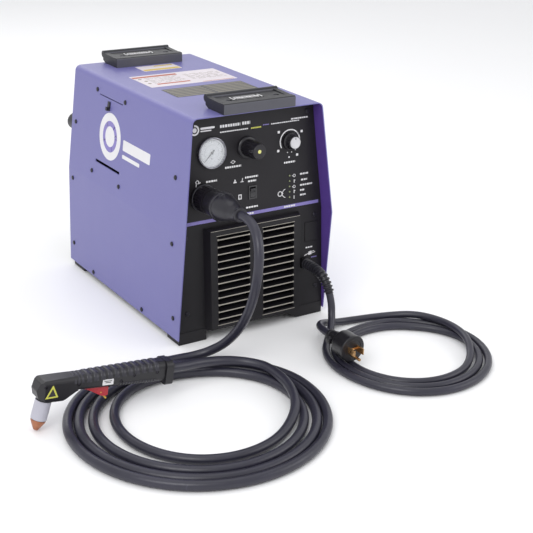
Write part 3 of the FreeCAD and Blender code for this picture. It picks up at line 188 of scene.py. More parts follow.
# node trees, for shaders and for geometry
def addNode(tree, kind, inputs=None, **settings):
    # settings are the node's own options; each input gets a value, or a link where a socket is given
    node = tree.nodes.new(kind)
    for key, value in settings.items():
        setattr(node, key, value)
    for key, value in (inputs or {}).items():
        if isinstance(value, bpy.types.NodeSocket):
            tree.links.new(value, node.inputs[key])
        else:
            node.inputs[key].default_value = value
    return node


def newGroup(name, treeKind, inputs, outputs):
    tree = bpy.data.node_groups.new(name, treeKind)
    for socketName, kind, value in inputs:
        socket = tree.interface.new_socket(name=socketName, in_out="INPUT", socket_type="NodeSocket" + kind)
        if value is not None:
            socket.default_value = value
    for socketName, kind in outputs:
        tree.interface.new_socket(name=socketName, in_out="OUTPUT", socket_type="NodeSocket" + kind)
    return tree, tree.nodes.new("NodeGroupInput").outputs, tree.nodes.new("NodeGroupOutput").inputs


def mathNode(tree, operation, first, second=None, clamp=False):
    values = {0: first} if second is None else {0: first, 1: second}
    return addNode(tree, "ShaderNodeMath", values, operation=operation, use_clamp=clamp).outputs[0]


def noiseNode(tree, vector, scale, detail, roughness=0.55):
    return addNode(tree, "ShaderNodeTexNoise", {"Vector": vector, "Scale": scale, "Detail": detail,
                                                "Roughness": roughness}).outputs["Fac"]


def buildFinishGroup():
    # fine grain for the bump, slow shade for colour, and handling marks for roughness
    tree, entry, leave = newGroup("moulderFinish", "ShaderNodeTree", [
        ("Vector", "Vector", None), ("Grain Scale", "Float", 900.0), ("Shade Scale", "Float", 9.0),
        ("Base Roughness", "Float", 0.5), ("Rub Amount", "Float", 0.12)],
        [("Grain", "Float"), ("Shade", "Float"), ("Roughness", "Float")])
    vector = entry["Vector"]
    rubScale = mathNode(tree, "MULTIPLY", entry["Shade Scale"], 6.3)
    rub = mathNode(tree, "SUBTRACT", noiseNode(tree, vector, rubScale, 5.0, 0.65), 0.5)
    spread = mathNode(tree, "MULTIPLY", rub, entry["Rub Amount"])
    tree.links.new(noiseNode(tree, vector, entry["Grain Scale"], 2.0), leave["Grain"])
    tree.links.new(noiseNode(tree, vector, entry["Shade Scale"], 4.0, 0.6), leave["Shade"])
    tree.links.new(mathNode(tree, "ADD", entry["Base Roughness"], spread, clamp=True), leave["Roughness"])
    return tree


def buildScuffGroup():
    # sparse thin scratches, as a mask
    tree, entry, leave = newGroup("handlingScuffs", "ShaderNodeTree", [
        ("Vector", "Vector", None), ("Scale", "Float", 40.0), ("Amount", "Float", 0.5)], [("Mask", "Float")])
    stretch = addNode(tree, "ShaderNodeMapping", {"Scale": (1.0, 5.0, 0.35), "Rotation": (0.4, 0.2, 0.7),
                                                  "Vector": entry["Vector"]})
    lines = noiseNode(tree, stretch.outputs["Vector"], entry["Scale"], 6.0, 0.7)
    where = noiseNode(tree, entry["Vector"], 7.0, 2.0)
    both = mathNode(tree, "MULTIPLY", mathNode(tree, "GREATER_THAN", lines, 0.66),
                    mathNode(tree, "GREATER_THAN", where, 0.55))
    tree.links.new(mathNode(tree, "MULTIPLY", both, entry["Amount"], clamp=True), leave["Mask"])
    return tree


finishGroup = buildFinishGroup()
scuffGroup = buildScuffGroup()


def rgb(*channels):
    shares = [c / 255.0 for c in channels]
    return (*(s / 12.92 if s <= 0.04045 else ((s + 0.055) / 1.055) ** 2.4 for s in shares), 1.0)


def surface(name, colour, deep=None, roughness=0.5, grainScale=900.0, grainHeight=0.05, shadeScale=9.0, rub=0.12,
            scuff=None, scuffColour=None, metallic=0.0, coat=0.0, specular=None, alpha=None):
    # one finish: two tones that drift over the surface, varying gloss, grain, and scuffs where asked
    material = bpy.data.materials.new(name)
    material.use_nodes = True
    tree = material.node_tree
    place = addNode(tree, "ShaderNodeTexCoord").outputs["Object"]
    finish = addNode(tree, "ShaderNodeGroup", {
        "Vector": place, "Grain Scale": grainScale, "Shade Scale": shadeScale, "Base Roughness": roughness,
        "Rub Amount": rub}, node_tree=finishGroup).outputs
    deep = deep or (*(c * 0.82 for c in colour[:3]), 1.0)
    tone = addNode(tree, "ShaderNodeMix", {0: finish["Shade"], 6: deep, 7: colour}, data_type="RGBA").outputs[2]
    if scuff:
        marks = addNode(tree, "ShaderNodeGroup", {"Vector": place, "Scale": 40.0, "Amount": scuff},
                        node_tree=scuffGroup)
        worn = scuffColour or (*(min(1.0, c * 1.6 + 0.02) for c in colour[:3]), 1.0)
        tone = addNode(tree, "ShaderNodeMix", {0: marks.outputs["Mask"], 6: tone, 7: worn},
                       data_type="RGBA").outputs[2]
    bump = addNode(tree, "ShaderNodeBump", {"Strength": min(1.0, grainHeight * 6), "Distance": grainHeight / 1000,
                                            "Height": finish["Grain"]})
    shader = tree.nodes["Principled BSDF"].inputs
    for value, socket in ((tone, "Base Color"), (finish["Roughness"], "Roughness"), (bump.outputs["Normal"], "Normal")):
        tree.links.new(value, shader[socket])
    shader["Metallic"].default_value = metallic
    if coat:
        shader["Coat Weight"].default_value = coat
        shader["Coat Roughness"].default_value = 0.18
    if specular is not None:
        shader["Specular IOR Level"].default_value = specular
    if alpha is not None:
        shader["Alpha"].default_value = alpha
    return material


# finish: tone, deeper tone, roughness, grain scale, grain height in mm, drift scale, and what else it has
finishTable = {
    "coverPaint": ((113, 111, 168), (105, 102, 160), 0.42, 620, 0.16, 3, {"rub": 0.1, "scuff": 0.1, "coat": 0.12}),
    "coverInside": ((98, 72, 156), (86, 60, 142), 0.45, 620, 0.14, 5, {"rub": 0.1}),
    "panelBlack": ((33, 31, 35), (26, 24, 28), 0.46, 700, 0.12, 5, {"scuff": 0.12, "specular": 0.3}),
    "mouldingBlack": ((28, 26, 30), (21, 20, 23), 0.46, 900, 0.14, 8, {"scuff": 0.16, "rub": 0.18, "specular": 0.32}),
    "handleBlack": ((36, 36, 41), (27, 27, 31), 0.42, 1000, 0.16, 14, {"scuff": 0.25, "rub": 0.2, "specular": 0.4}),
    # painted shade: near-black for the up-facing floors of the handle recesses
    "recessPaintedShade": ((20, 20, 23), (14, 14, 16), 0.6, 900, 0.2, 20, {"specular": 0.2}),
    # painted light: a lighter grey for the handles' front faces, where the light from the front falls
    "handleGrey": ((84, 84, 92), (68, 68, 76), 0.5, 1000, 0.16, 14, {"scuff": 0.25, "rub": 0.2}),
    "screwSteel": ((70, 68, 74), (44, 42, 48), 0.34, 1500, 0.04, 60, {"metallic": 0.85}),
    "screwBlack": ((40, 38, 48), (28, 27, 33), 0.36, 1500, 0.04, 60, {"metallic": 0.4}),
    "bezelMetal": ((158, 158, 164), (118, 118, 126), 0.26, 1600, 0.03, 40, {"metallic": 0.85}),
    "brassFitting": ((196, 164, 96), (150, 118, 62), 0.32, 1200, 0.05, 30, {"metallic": 1.0}),
    "spindleSteel": ((170, 170, 175), (120, 120, 126), 0.3, 1400, 0.05, 30, {"metallic": 1.0}),
    "knobBlack": ((30, 28, 34), (22, 20, 25), 0.32, 1100, 0.08, 24, {"scuff": 0.2}),
    "knobCap": ((214, 213, 216), (188, 187, 192), 0.38, 1300, 0.04, 30, {}),
    "switchBlack": ((34, 33, 38), (24, 23, 27), 0.25, 1300, 0.04, 24, {"coat": 0.3}),
    "lightLens": ((150, 158, 116), (104, 112, 84), 0.2, 900, 0.01, 90, {"coat": 0.5}),
    "boardGreen": ((38, 112, 66), (24, 84, 46), 0.4, 500, 0.2, 60, {}),
    "cableRubber": ((48, 47, 62), (30, 29, 40), 0.36, 300, 0.22, 16,
                    {"rub": 0.3, "scuff": 0.3, "scuffColour": rgb(84, 83, 100), "specular": 0.55}),
    "bootRubber": ((36, 35, 43), (25, 24, 30), 0.32, 500, 0.12, 14, {"rub": 0.16}),
    "torchBlack": ((31, 30, 35), (23, 22, 26), 0.36, 900, 0.12, 16, {"scuff": 0.22}),
    "torchRib": ((50, 49, 58), (36, 35, 42), 0.3, 900, 0.1, 20, {"scuff": 0.2}),
    "cupCeramic": ((186, 185, 196), (166, 165, 176), 0.4, 800, 0.05, 26, {"rub": 0.2}),
    "tipCopper": ((196, 136, 104), (132, 82, 62), 0.34, 1000, 0.08, 70, {"metallic": 0.9, "rub": 0.3}),
    "triggerRed": ((198, 34, 48), (168, 22, 36), 0.32, 1000, 0.05, 40, {"coat": 0.2}),
    "lockYellow": ((238, 200, 92), (214, 172, 62), 0.34, 1000, 0.05, 40, {"coat": 0.2}),
    "bladeBrass": ((222, 180, 128), (186, 140, 92), 0.26, 1200, 0.05, 50, {"metallic": 0.9}),
    "fanBlack": ((34, 34, 38), (26, 26, 30), 0.45, 900, 0.1, 14, {}),
    "sinkAluminium": ((186, 187, 191), (156, 157, 162), 0.36, 900, 0.08, 20, {"metallic": 1.0}),
    "coreIron": ((92, 78, 66), (64, 54, 46), 0.55, 700, 0.3, 30, {"metallic": 0.3}),
    "capacitorCan": ((60, 72, 118), (44, 54, 92), 0.3, 900, 0.04, 30, {"coat": 0.3}),
    # painted highlight: light tan for the strips along the louvre slat edges and the louvre frame lines
    "slatEdge": ((176, 171, 160), (140, 136, 128), 0.34, 900, 0.1, 30, {}),
}
inkTable = {  # printed or plain thin pieces: tone, roughness
    "dialWhite": ((214, 216, 221), 0.5), "dialInk": ((52, 52, 58), 0.42), "needleBlack": ((30, 30, 34), 0.42),
    "dotYellow": ((222, 220, 132), 0.42), "inkWhite": ((232, 231, 233), 0.42), "inkPurple": ((134, 124, 190), 0.42),
    "inkYellow": ((206, 206, 92), 0.42), "inkGold": ((206, 178, 70), 0.42), "inkOrange": ((176, 78, 44), 0.42),
    "inkDark": ((58, 56, 56), 0.42), "inkTan": ((136, 129, 112), 0.42), "labelStock": ((222, 214, 220), 0.46),
}
finishes = {}
for finishName, (tone, deep, roughness, grainScale, grainHeight, shadeScale, extras) in finishTable.items():
    finishes[finishName] = surface(finishName, rgb(*tone), rgb(*deep), roughness, grainScale, grainHeight, shadeScale,
                                   **extras)
for finishName, (tone, roughness) in inkTable.items():
    finishes[finishName] = surface(finishName, rgb(*tone), None, roughness, 1400, 0.02, 22, rub=0.08)
finishes["lensClear"] = surface("lensClear", (0.95, 0.97, 0.98, 1), (0.9, 0.93, 0.95, 1), 0.06, grainHeight=0.005,
                                rub=0.03, alpha=0.18)
print("finishes made:", len(finishes))


# shapes in local millimetres, and the pieces made of them
def addBox(bm, x0, x1, y0, y1, z0, z1):
    spots = [bm.verts.new((x, y, z)) for z in (z0, z1) for y in (y0, y1) for x in (x0, x1)]
    for face in ((0, 2, 3, 1), (4, 5, 7, 6), (0, 1, 5, 4), (2, 6, 7, 3), (0, 4, 6, 2), (1, 3, 7, 5)):
        bm.faces.new([spots[i] for i in face])


def addSkin(bm, low, high):
    # joins two closed rings of points; a ring of one point is a tip
    count = max(len(low), len(high))
    for i in range(count):
        j = (i + 1) % count
        if len(low) == 1:
            bm.faces.new((low[0], high[j], high[i]))
        elif len(high) == 1:
            bm.faces.new((low[i], low[j], high[0]))
        else:
            bm.faces.new((low[i], low[j], high[j], high[i]))


def addPrism(bm, outline, z0, z1):
    low, high = ([bm.verts.new((x, y, z)) for x, y in outline] for z in (z0, z1))
    bm.faces.new(list(reversed(low)))
    bm.faces.new(high)
    addSkin(bm, low, high)


def addTube(bm, rings):
    # closed tube through rings of equal size
    for low, high in zip(rings, rings[1:]):
        addSkin(bm, low, high)
    bm.faces.new(rings[0])
    bm.faces.new(list(reversed(rings[-1])))


def addTurned(bm, profile, segments=64, wave=None):
    # closed solid of revolution about z; wave(angle, radius, height) may change a radius
    rings = []
    for radius, height in profile:
        ring = []
        for i in range(segments if radius > 1e-6 else 1):
            angle = 2 * math.pi * i / segments
            reach = wave(angle, radius, height) if wave and radius > 1e-6 else radius
            ring.append(bm.verts.new((reach * math.cos(angle), reach * math.sin(angle), height)))
        rings.append(ring)
    for low, high in zip(rings, rings[1:]):
        addSkin(bm, low, high)


def rectangle(x0, x1, y0, y1):
    return [(x0, y0), (x1, y0), (x1, y1), (x0, y1)]


def roundedOutline(width, height, radius, steps=5, centre=(0.0, 0.0)):
    points = []
    for cornerX, cornerY, start in ((1, 1, 0), (-1, 1, 90), (-1, -1, 180), (1, -1, 270)):
        for step in range(steps + 1):
            angle = math.radians(start + 90 * step / steps)
            x = cornerX * (width / 2 - radius) + radius * math.cos(angle)
            y = cornerY * (height / 2 - radius) + radius * math.sin(angle)
            points.append((centre[0] + x, centre[1] + y))
    return points


def discOutline(radius, centre=(0.0, 0.0), steps=36):
    angles = [2 * math.pi * i / steps for i in range(steps)]
    return [(centre[0] + radius * math.cos(a), centre[1] + radius * math.sin(a)) for a in angles]


def addArcBand(bm, radius, width, start, end, z0, z1, centre=(0.0, 0.0), steps=40):
    angles = [math.radians(start + (end - start) * i / steps) for i in range(steps + 1)]
    inner, outer = ([(centre[0] + reach * math.cos(a), centre[1] + reach * math.sin(a)) for a in angles]
                    for reach in (radius - width / 2, radius + width / 2))
    for i in range(steps):
        addPrism(bm, [inner[i], outer[i], outer[i + 1], inner[i + 1]], z0, z1)
    bmesh.ops.remove_doubles(bm, verts=bm.verts, dist=1e-4)


def smoothEdges(mesh, degrees=32.0):
    mesh.shade_smooth()
    mesh.set_sharp_from_angle(angle=math.radians(degrees))


def bakedMesh(holder, name):
    bpy.context.view_layer.update()
    depsgraph = bpy.context.evaluated_depsgraph_get()
    mesh = bpy.data.meshes.new_from_object(holder.evaluated_get(depsgraph), depsgraph=depsgraph)
    mesh.name = name
    holder.modifiers.clear()
    bpy.data.objects.remove(holder)
    return mesh


def modified(mesh, name, kind, **settings):
    # the mesh as one modifier leaves it
    holder = newObject(name + "Holder", mesh)
    modifier = holder.modifiers.new("builder", kind)
    for key, value in settings.items():
        setattr(modifier, key, value)
    return bakedMesh(holder, name)


def beveled(mesh, name, width, segments, degrees):
    return modified(mesh, name, "BEVEL", width=width / 1000, segments=segments, limit_method="ANGLE",
                    angle_limit=math.radians(degrees))


def plainMesh(name, bm):
    mesh = bpy.data.meshes.new(name)
    bm.to_mesh(mesh)
    bm.free()
    return mesh


def settle(name, mesh, body, replaced=()):
    piece = newObject(name, mesh)
    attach(piece, body)
    if replaced:
        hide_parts(*replaced)


def makePiece(name, bm, matrix, finish, body="root", slotName="moulding_black", bevel=0.0, replaced=()):
    bmesh.ops.recalc_face_normals(bm, faces=bm.faces)
    mesh = plainMesh(name, bm)
    mesh.transform(matrix)
    mesh.materials.append(finishes[finish])
    if bevel:
        mesh = beveled(mesh, name, bevel, 2, 40)
    smoothEdges(mesh)
    settle(name, mesh, body, replaced)


def turnedPiece(name, profile, segments, matrix, finish, wave=None, **facts):
    bm = bmesh.new()
    addTurned(bm, profile, segments, wave)
    makePiece(name, bm, matrix, finish, **facts)


def flatPiece(name, outlines, z0, z1, matrix, finish, **facts):
    bm = bmesh.new()
    for outline in outlines:
        addPrism(bm, outline, z0, z1)
    makePiece(name, bm, matrix, finish, **facts)


# geometry node builders
def geometryGroup(name, inputs):
    return newGroup(name, "GeometryNodeTree", [("Geometry", "Geometry", None), ("Part", "Object", None)] + inputs
                    + [("Material", "Material", None)], [("Geometry", "Geometry")])


def closeTree(tree, entry, leave, placing):
    # puts the part on the points, then makes it real and paints it
    part = addNode(tree, "GeometryNodeObjectInfo", {"Object": entry["Part"]}).outputs["Geometry"]
    place = addNode(tree, "GeometryNodeInstanceOnPoints", {"Instance": part, **placing})
    realize = addNode(tree, "GeometryNodeRealizeInstances", {"Geometry": place.outputs["Instances"]})
    paint = addNode(tree, "GeometryNodeSetMaterial", {"Geometry": realize.outputs["Geometry"],
                                                      "Material": entry["Material"]})
    tree.links.new(paint.outputs["Geometry"], leave["Geometry"])
    return tree


def turnAboutZ(tree, angle):
    spin = addNode(tree, "ShaderNodeCombineXYZ", {"Z": angle}).outputs["Vector"]
    return addNode(tree, "FunctionNodeEulerToRotation", {"Euler": spin}).outputs["Rotation"]


def buildSetterTree():
    # one part on every vertex, turned to the vertex's "facing" and "along" and twisted at random
    tree, entry, leave = geometryGroup("setOnPoints", [
        ("Size", "Float", 1.0), ("Twist", "Float", 0.0), ("Seed", "Int", 4)])
    facing, along = [addNode(tree, "GeometryNodeInputNamedAttribute", {"Name": word}, data_type="FLOAT_VECTOR")
                     .outputs["Attribute"] for word in ("facing", "along")]
    firstTurn = addNode(tree, "FunctionNodeAlignRotationToVector", {"Vector": facing}, axis="Z")
    secondTurn = addNode(tree, "FunctionNodeAlignRotationToVector", {
        "Rotation": firstTurn.outputs["Rotation"], "Vector": along}, axis="X", pivot_axis="Z")
    draw = addNode(tree, "FunctionNodeRandomValue", {3: entry["Twist"], "Seed": entry["Seed"]}, data_type="FLOAT")
    rotate = addNode(tree, "FunctionNodeRotateRotation", {
        "Rotation": secondTurn.outputs["Rotation"], "Rotate By": turnAboutZ(tree, draw.outputs[1])},
        rotation_space="LOCAL")
    return closeTree(tree, entry, leave, {"Points": entry["Geometry"], "Rotation": rotate.outputs["Rotation"],
                                          "Scale": entry["Size"]})


def buildRowTree():
    # a straight row of one part
    tree, entry, leave = geometryGroup("partRow", [
        ("Count", "Int", 12), ("Start", "Vector", None), ("Step", "Vector", None)])
    line = addNode(tree, "GeometryNodeMeshLine", {"Count": entry["Count"], "Start Location": entry["Start"],
                                                  "Offset": entry["Step"]})
    return closeTree(tree, entry, leave, {"Points": line.outputs["Mesh"]})


def buildCircleTree():
    # parts round a circle: Count of them from First, Spread apart, each turned to face outwards
    tree, entry, leave = geometryGroup("partCircle", [
        ("Count", "Int", 12), ("Radius", "Float", 10.0), ("First", "Float", 0.0), ("Spread", "Float", 0.5)])
    line = addNode(tree, "GeometryNodeMeshLine", {"Count": entry["Count"]})
    index = addNode(tree, "GeometryNodeInputIndex").outputs[0]
    angle = mathNode(tree, "ADD", mathNode(tree, "MULTIPLY", index, entry["Spread"]), entry["First"])
    across, upward = [mathNode(tree, "MULTIPLY", mathNode(tree, word, angle), entry["Radius"])
                      for word in ("COSINE", "SINE")]
    spot = addNode(tree, "ShaderNodeCombineXYZ", {"X": across, "Y": upward})
    move = addNode(tree, "GeometryNodeSetPosition", {"Geometry": line.outputs["Mesh"],
                                                     "Position": spot.outputs["Vector"]})
    return closeTree(tree, entry, leave, {"Points": move.outputs["Geometry"], "Rotation": turnAboutZ(tree, angle)})


setterTree, rowTree, circleTree = buildSetterTree(), buildRowTree(), buildCircleTree()


def repeatPart(name, bm, tree, finish, values, source=None):
    # the mesh that a tree makes of copies of one part
    bmesh.ops.recalc_face_normals(bm, faces=bm.faces)
    part = newObject(name + "Pattern", plainMesh(name + "Pattern", bm))
    smoothEdges(part.data)
    holder = newObject(name + "Holder", source or bpy.data.meshes.new(name + "Seed"))
    modifier = holder.modifiers.new("builder", "NODES")
    modifier.node_group = tree
    values = dict(values, Part=part, Material=finishes[finish])
    for item in tree.interface.items_tree:
        if item.item_type == "SOCKET" and item.in_out == "INPUT" and item.name in values:
            modifier[item.identifier] = values[item.name]
    mesh = bakedMesh(holder, name)
    bpy.data.objects.remove(part)
    return mesh


# cords
def nurbsCurve(name, points, resolution):
    data = bpy.data.curves.new(name, "CURVE")
    data.dimensions = "3D"
    spline = data.splines.new("NURBS")
    spline.points.add(len(points) - 1)
    for knot, point in zip(spline.points, points):
        knot.co = (*point, 1.0)
    spline.order_u = 3
    spline.use_endpoint_u = True
    spline.resolution_u = resolution
    return newObject(name, data)


def layCord(name, points, diameter, replaced):
    piece = nurbsCurve(name, [case(*point) for point in points], 8)
    piece.data.bevel_depth = diameter / 2000
    piece.data.bevel_resolution = 6
    piece.data.use_fill_caps = True
    piece.data.materials.append(finishes["cableRubber"])
    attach(piece, "root")
    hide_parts(*replaced)
    return piece


def alongStops(stops, angle):
    # (radius, height) between the listed stops, eased so that the coil has no kinks
    for first, second in zip(stops, stops[1:]):
        if first[0] <= angle <= second[0]:
            share = (angle - first[0]) / (second[0] - first[0])
            eased = share * share * (3 - 2 * share)
            return first[1] + (second[1] - first[1]) * eased, first[2] + (second[2] - first[2]) * eased
    return stops[-1][1], stops[-1][2]


def coilPoints(route):
    points = []
    stops, centre = route["turns"], route["centre"]
    first, last = stops[0][0], stops[-1][0]
    count = int(round((last - first) / route["step"]))
    for i in range(1, count):
        angle = first + (last - first) * i / count
        radius, height = alongStops(stops, angle)
        turn = math.radians(angle)
        points.append((centre[0] + radius * math.cos(turn), centre[1] + radius * math.sin(turn), height))
    return points


boot = {"x": -90.0, "z": 238.0, "end": 115.0}
bootExit = panelPoint(boot["x"], boot["z"], boot["end"])
torchAxis = {"rear": Vector((-228, -125, 40.5)), "head": Vector((-424, -131, 68.5))}
torchForward = (torchAxis["head"] - torchAxis["rear"]).normalized()
torchSide = zUnit.cross(torchForward).normalized()
torchUpward = torchForward.cross(torchSide)
torchMatrix = axesMatrix(torchAxis["rear"], torchForward, torchSide, torchUpward)

# each turn is (angle, radius, height)
torchCableRoute = {
    "diameter": 14.5,
    "lead": [
        tuple(bootExit), tuple(bootExit + panelOut * 14.0), (-91, -131, 240.5), (-94.5, -149.5, 228),
        (-98.5, -161.5, 207.5), (-101.5, -164.5, 182.5), (-102, -159.5, 154), (-99.5, -147, 126), (-97.5, -131, 98),
        (-97, -113, 72), (-99.5, -94, 48.5), (-107, -77, 29), (-121, -62.5, 15.5), (-142, -53, 8.5),
        (-166, -47.5, 7.25), (-190, -45.5, 7.25)],
    "centre": (-228, -213),
    "step": 22.5,
    "turns": [(77, 172, 7.25), (180, 187, 7.25), (300, 187.5, 7.25), (365, 186, 7.25), (437, 157, 7.25),
              (540, 171, 7.25), (660, 172, 7.25), (725, 170, 7.25), (797, 142, 7.25), (900, 150, 7.25),
              (1010, 153, 7.25), (1085, 152, 7.25), (1157, 127, 7.25), (1260, 117, 7.25), (1350, 127, 7.25),
              (1388, 131, 7.25), (1425, 145, 21.8), (1457.3, 157.7, 21.8)],
    "tail": [(-77.5, -166, 21.8), (-89, -143.5, 21.8), (-106.5, -127, 22.8), (-129, -118, 25.5), (-154, -117, 29.5),
             (-179, -120.5, 34), tuple(torchAxis["rear"] - torchForward * 22.0),
             tuple(torchAxis["rear"] + torchForward * 4.0)],
}
reliefEnd = Vector((105, -62, 66))
reliefDown = Vector((1, -7, -17)).normalized()
plugLook = {
    "face": Vector((54, -198, 34.3)), "length": 60.0, "ribs": 30, "ribHeight": 0.3, "ribSpan": (8.0, 24.0),
    "shell": [(0, 0.6), (14.8, 0.6), (15.4, 0.0), (20.6, 0.0), (21.6, 1.0), (21.6, 6.0), (21.1, 7.0), (21.1, 26.0),
              (20.2, 28.6), (17.2, 32.2), (14.6, 34.0), (0, 34.0)],
    "clamp": [(0, 33.9), (13.0, 33.9), (13.4, 35.0), (12.8, 38.0), (11.8, 44.0), (10.4, 50.0), (9.2, 54.6),
              (9.8, 55.2), (9.8, 58.8), (9.2, 60.0), (0, 60.0)],
    "ear": {"x": 13.6, "half": (3.2, 4.5), "from": 39.0, "to": 49.0},
}
plugTail = plugLook["face"] + yUnit * plugLook["length"]
powerCordRoute = {
    "diameter": 12.0,
    "lead": [
        tuple(reliefEnd), tuple(reliefEnd + reliefDown * 16.5), (103.3, -73.5, 33.5), (96.3, -84, 20.5),
        (84.3, -96.3, 12), (68.5, -111.5, 8.0), (52, -130, 6.3), (39, -153, 6), (31, -179, 6), (28.5, -206, 6)],
    "centre": (150, -203),
    "step": 20.0,
    "turns": [(181.4, 121.5, 6), (270, 134, 6), (360, 138, 6), (415, 124, 6), (450, 110, 6), (541, 108, 6),
              (630, 118, 6), (715, 124, 6), (780, 103, 6), (815, 97, 6), (901, 95, 6), (990, 100, 6), (1028, 104, 6),
              (1062, 112, 18.3), (1085, 121, 18.4), (1118, 133, 18), (1145, 136.5, 10), (1162.7, 134.6, 6)],
    "tail": [(157, -61.5, 6), (137, -58.5, 6.5), (117, -60, 10), (98, -66, 16), (81, -76.5, 23), (67, -91, 29),
             (57.5, -107.5, 33), tuple(plugTail + yUnit * 15.0), tuple(plugTail)],
}
torchPoints, powerPoints = (route["lead"] + coilPoints(route) + route["tail"]
                            for route in (torchCableRoute, powerCordRoute))
torchCable = layCord("torchCable", torchPoints, torchCableRoute["diameter"], ["torch_cable", "torch_coil"])
powerCord = layCord("powerCord", powerPoints, powerCordRoute["diameter"], ["power_cord", "power_coil"])
print("cords laid:", len(torchPoints), "and", len(powerPoints), "points")


# CAD nodes: rounded, smooth copies of those that show, and a finish on the rest
def facesInwards(centre, normal):
    return normal.x * (centre.x - caseOrigin.x) < -0.3 * abs(centre.x - caseOrigin.x)


# the handle faces towards the front, which get a lighter grey as painted light
def paintedLitFrontFaces(centre, normal):
    return normal.y < -0.8


# up-facing faces low in the handles, which get near-black as painted shade
def isPaintedShadeRecess(centre, normal):
    return normal.z > 0.8 and centre.z < (caseShape["height"] + 15.0) / 1000


# second finishes on the handles: a lighter grey on faces towards the front is painted light, and near-black on the
# up-facing recess floors is painted shade
handlePaintedLightAndShade = (("handleGrey", paintedLitFrontFaces), ("recessPaintedShade", isPaintedShadeRecess))
secondFinish = {"wrapper_cover": (("coverInside", facesInwards),), "front_handle": handlePaintedLightAndShade,
                "rear_handle": handlePaintedLightAndShade}
bodyOf = {node: body for body, nodes in frame["record"]["behaviour"]["bodies"].items() for node in nodes}
roundedNodes = {
    "wrapper_cover": ("coverPaint", 0.5), "front_panel": ("panelBlack", 0.4), "lower_front": ("mouldingBlack", 0.4),
    "rear_panel": ("panelBlack", 0.4), "rear_feet": ("mouldingBlack", 0.8), "front_handle": ("handleBlack", 1.1),
    "rear_handle": ("handleBlack", 1.1), "blank_plate": ("mouldingBlack", 0.5), "hanger_latch": ("screwBlack", 0.5),
    "gauge_case": ("bezelMetal", 0.7), "regulator_body": ("brassFitting", 0.6), "regulator_knob": ("knobBlack", 0.9),
    "mode_switch": ("switchBlack", 0.3), "mode_rocker": ("switchBlack", 0.4), "torch_socket": ("torchBlack", 0.8),
    "lock_ring": ("knobBlack", 0.5), "connector_plug": ("torchBlack", 1.2), "shield_cup": ("cupCeramic", 0.6),
    "cutting_tip": ("tipCopper", 0.5), "trigger": ("triggerRed", 0.6), "trigger_lock": ("lockYellow", 0.3),
    "cord_gland": ("mouldingBlack", 0.6), "plug_blades": ("bladeBrass", 0.3), "fan_blades": ("fanBlack", 0.4),
    "fan_guard": ("spindleSteel", 0.4), "fan_shroud": ("fanBlack", 0.5), "power_switch": ("switchBlack", 0.5),
    "power_rocker": ("switchBlack", 0.6), "air_inlet": ("fanBlack", 0.8), "base_pan": ("panelBlack", 0.3),
    "torch_head": ("torchBlack", 0.4),
}
plainNodes = {
    "gauge_dial": "dialWhite", "gauge_needle": "needleBlack", "gauge_lens": "lensClear",
    "regulator_spindle": "spindleSteel", "output_pot": "spindleSteel", "status_leds": "lightLens",
    "control_board": "boardGreen", "electrode": "tipCopper", "torch_switch": "switchBlack", "fan_motor": "fanBlack",
    "heat_sink": "sinkAluminium", "transformer": "coreIron", "capacitors": "capacitorCan",
}


def roundedCopy(node, finish, bevel, segments=2):
    bm = bmesh.new()
    bm.from_mesh(frame["nodes"][node].data)
    bmesh.ops.remove_doubles(bm, verts=bm.verts, dist=2e-6)
    bmesh.ops.dissolve_limit(bm, angle_limit=math.radians(0.6), verts=bm.verts, edges=bm.edges)
    name = "".join(word.capitalize() for word in node.split("_"))
    name = name[0].lower() + name[1:] + "Body"
    mesh = plainMesh(name, bm)
    mesh.materials.append(finishes[finish])
    mesh = beveled(mesh, name, bevel, segments, 35)
    for index, (other, test) in enumerate(secondFinish.get(node, ())):
        mesh.materials.append(finishes[other])
        for face in mesh.polygons:
            if test(face.center, face.normal):
                face.material_index = index + 1
    smoothEdges(mesh)
    mesh = modified(mesh, name, "WEIGHTED_NORMAL", keep_sharp=True)
    settle(name, mesh, bodyOf[node], [node])


for node, (finish, bevel) in roundedNodes.items():
    roundedCopy(node, finish, bevel)
for node, finish in plainNodes.items():
    for entry in frame["nodes"][node].material_slots:
        entry.material = finishes[finish]
print("CAD nodes finished:", len(roundedNodes), "rounded,", len(plainNodes), "painted")

# screws: pan heads with a cross recess, on a plain shank
screwShape = {"head": 3.9, "height": 2.0, "shank": 2.0, "shankLength": 8.0, "recess": 1.1, "recessArm": 2.2}
handleScrewShape = dict(screwShape, shankLength=12.6)
torchScrewShape = {"head": 2.4, "height": 1.4, "shank": 1.2, "shankLength": 12.0, "recess": 0.7, "recessArm": 1.4}
plugScrewShape = {"head": 2.6, "height": 1.3, "shank": 1.2, "shankLength": 5.0, "recess": 0.7, "recessArm": 1.5}
screwPlaces = {
    "sideFront": [(13.0, z) for z in (272.0, 167.0, 43.0)],  # y behind the panel, z
    "sideRear": [(-9.0, z) for z in (273.0, 170.0, 45.0)],  # y from the rear panel, z
    "sideMiddle": [(y, z) for y in (218.0, 323.0) for z in (205.0, 347.0)] + [(y, 16.0) for y in (129.0, 318.0)],
    "front": [(-106.0, 352.0), (106.0, 352.0), (122.0, 176.5), (-122.0, 176.5), (125.5, 51.0), (-122.0, 51.0)],
    "rear": [(-104.0, 352.0), (104.0, 352.0), (-126.0, 30.0), (126.0, 30.0), (-128.0, 190.0), (128.0, 190.0)],
    "handles": [(x, y) for y in (20.0, 385.0) for x in (-43.0, 43.0)],
    "torch": [(26.0, 3.0), (64.0, 2.5), (84.0, -4.0), (150.0, -1.0), (199.0, 0.5)],
    "torchSeat": 12.5,
}
fanPlace = {"x": 30.0, "z": 118.0, "reach": 66.0 * math.sin(math.radians(45)), "out": 2.0}


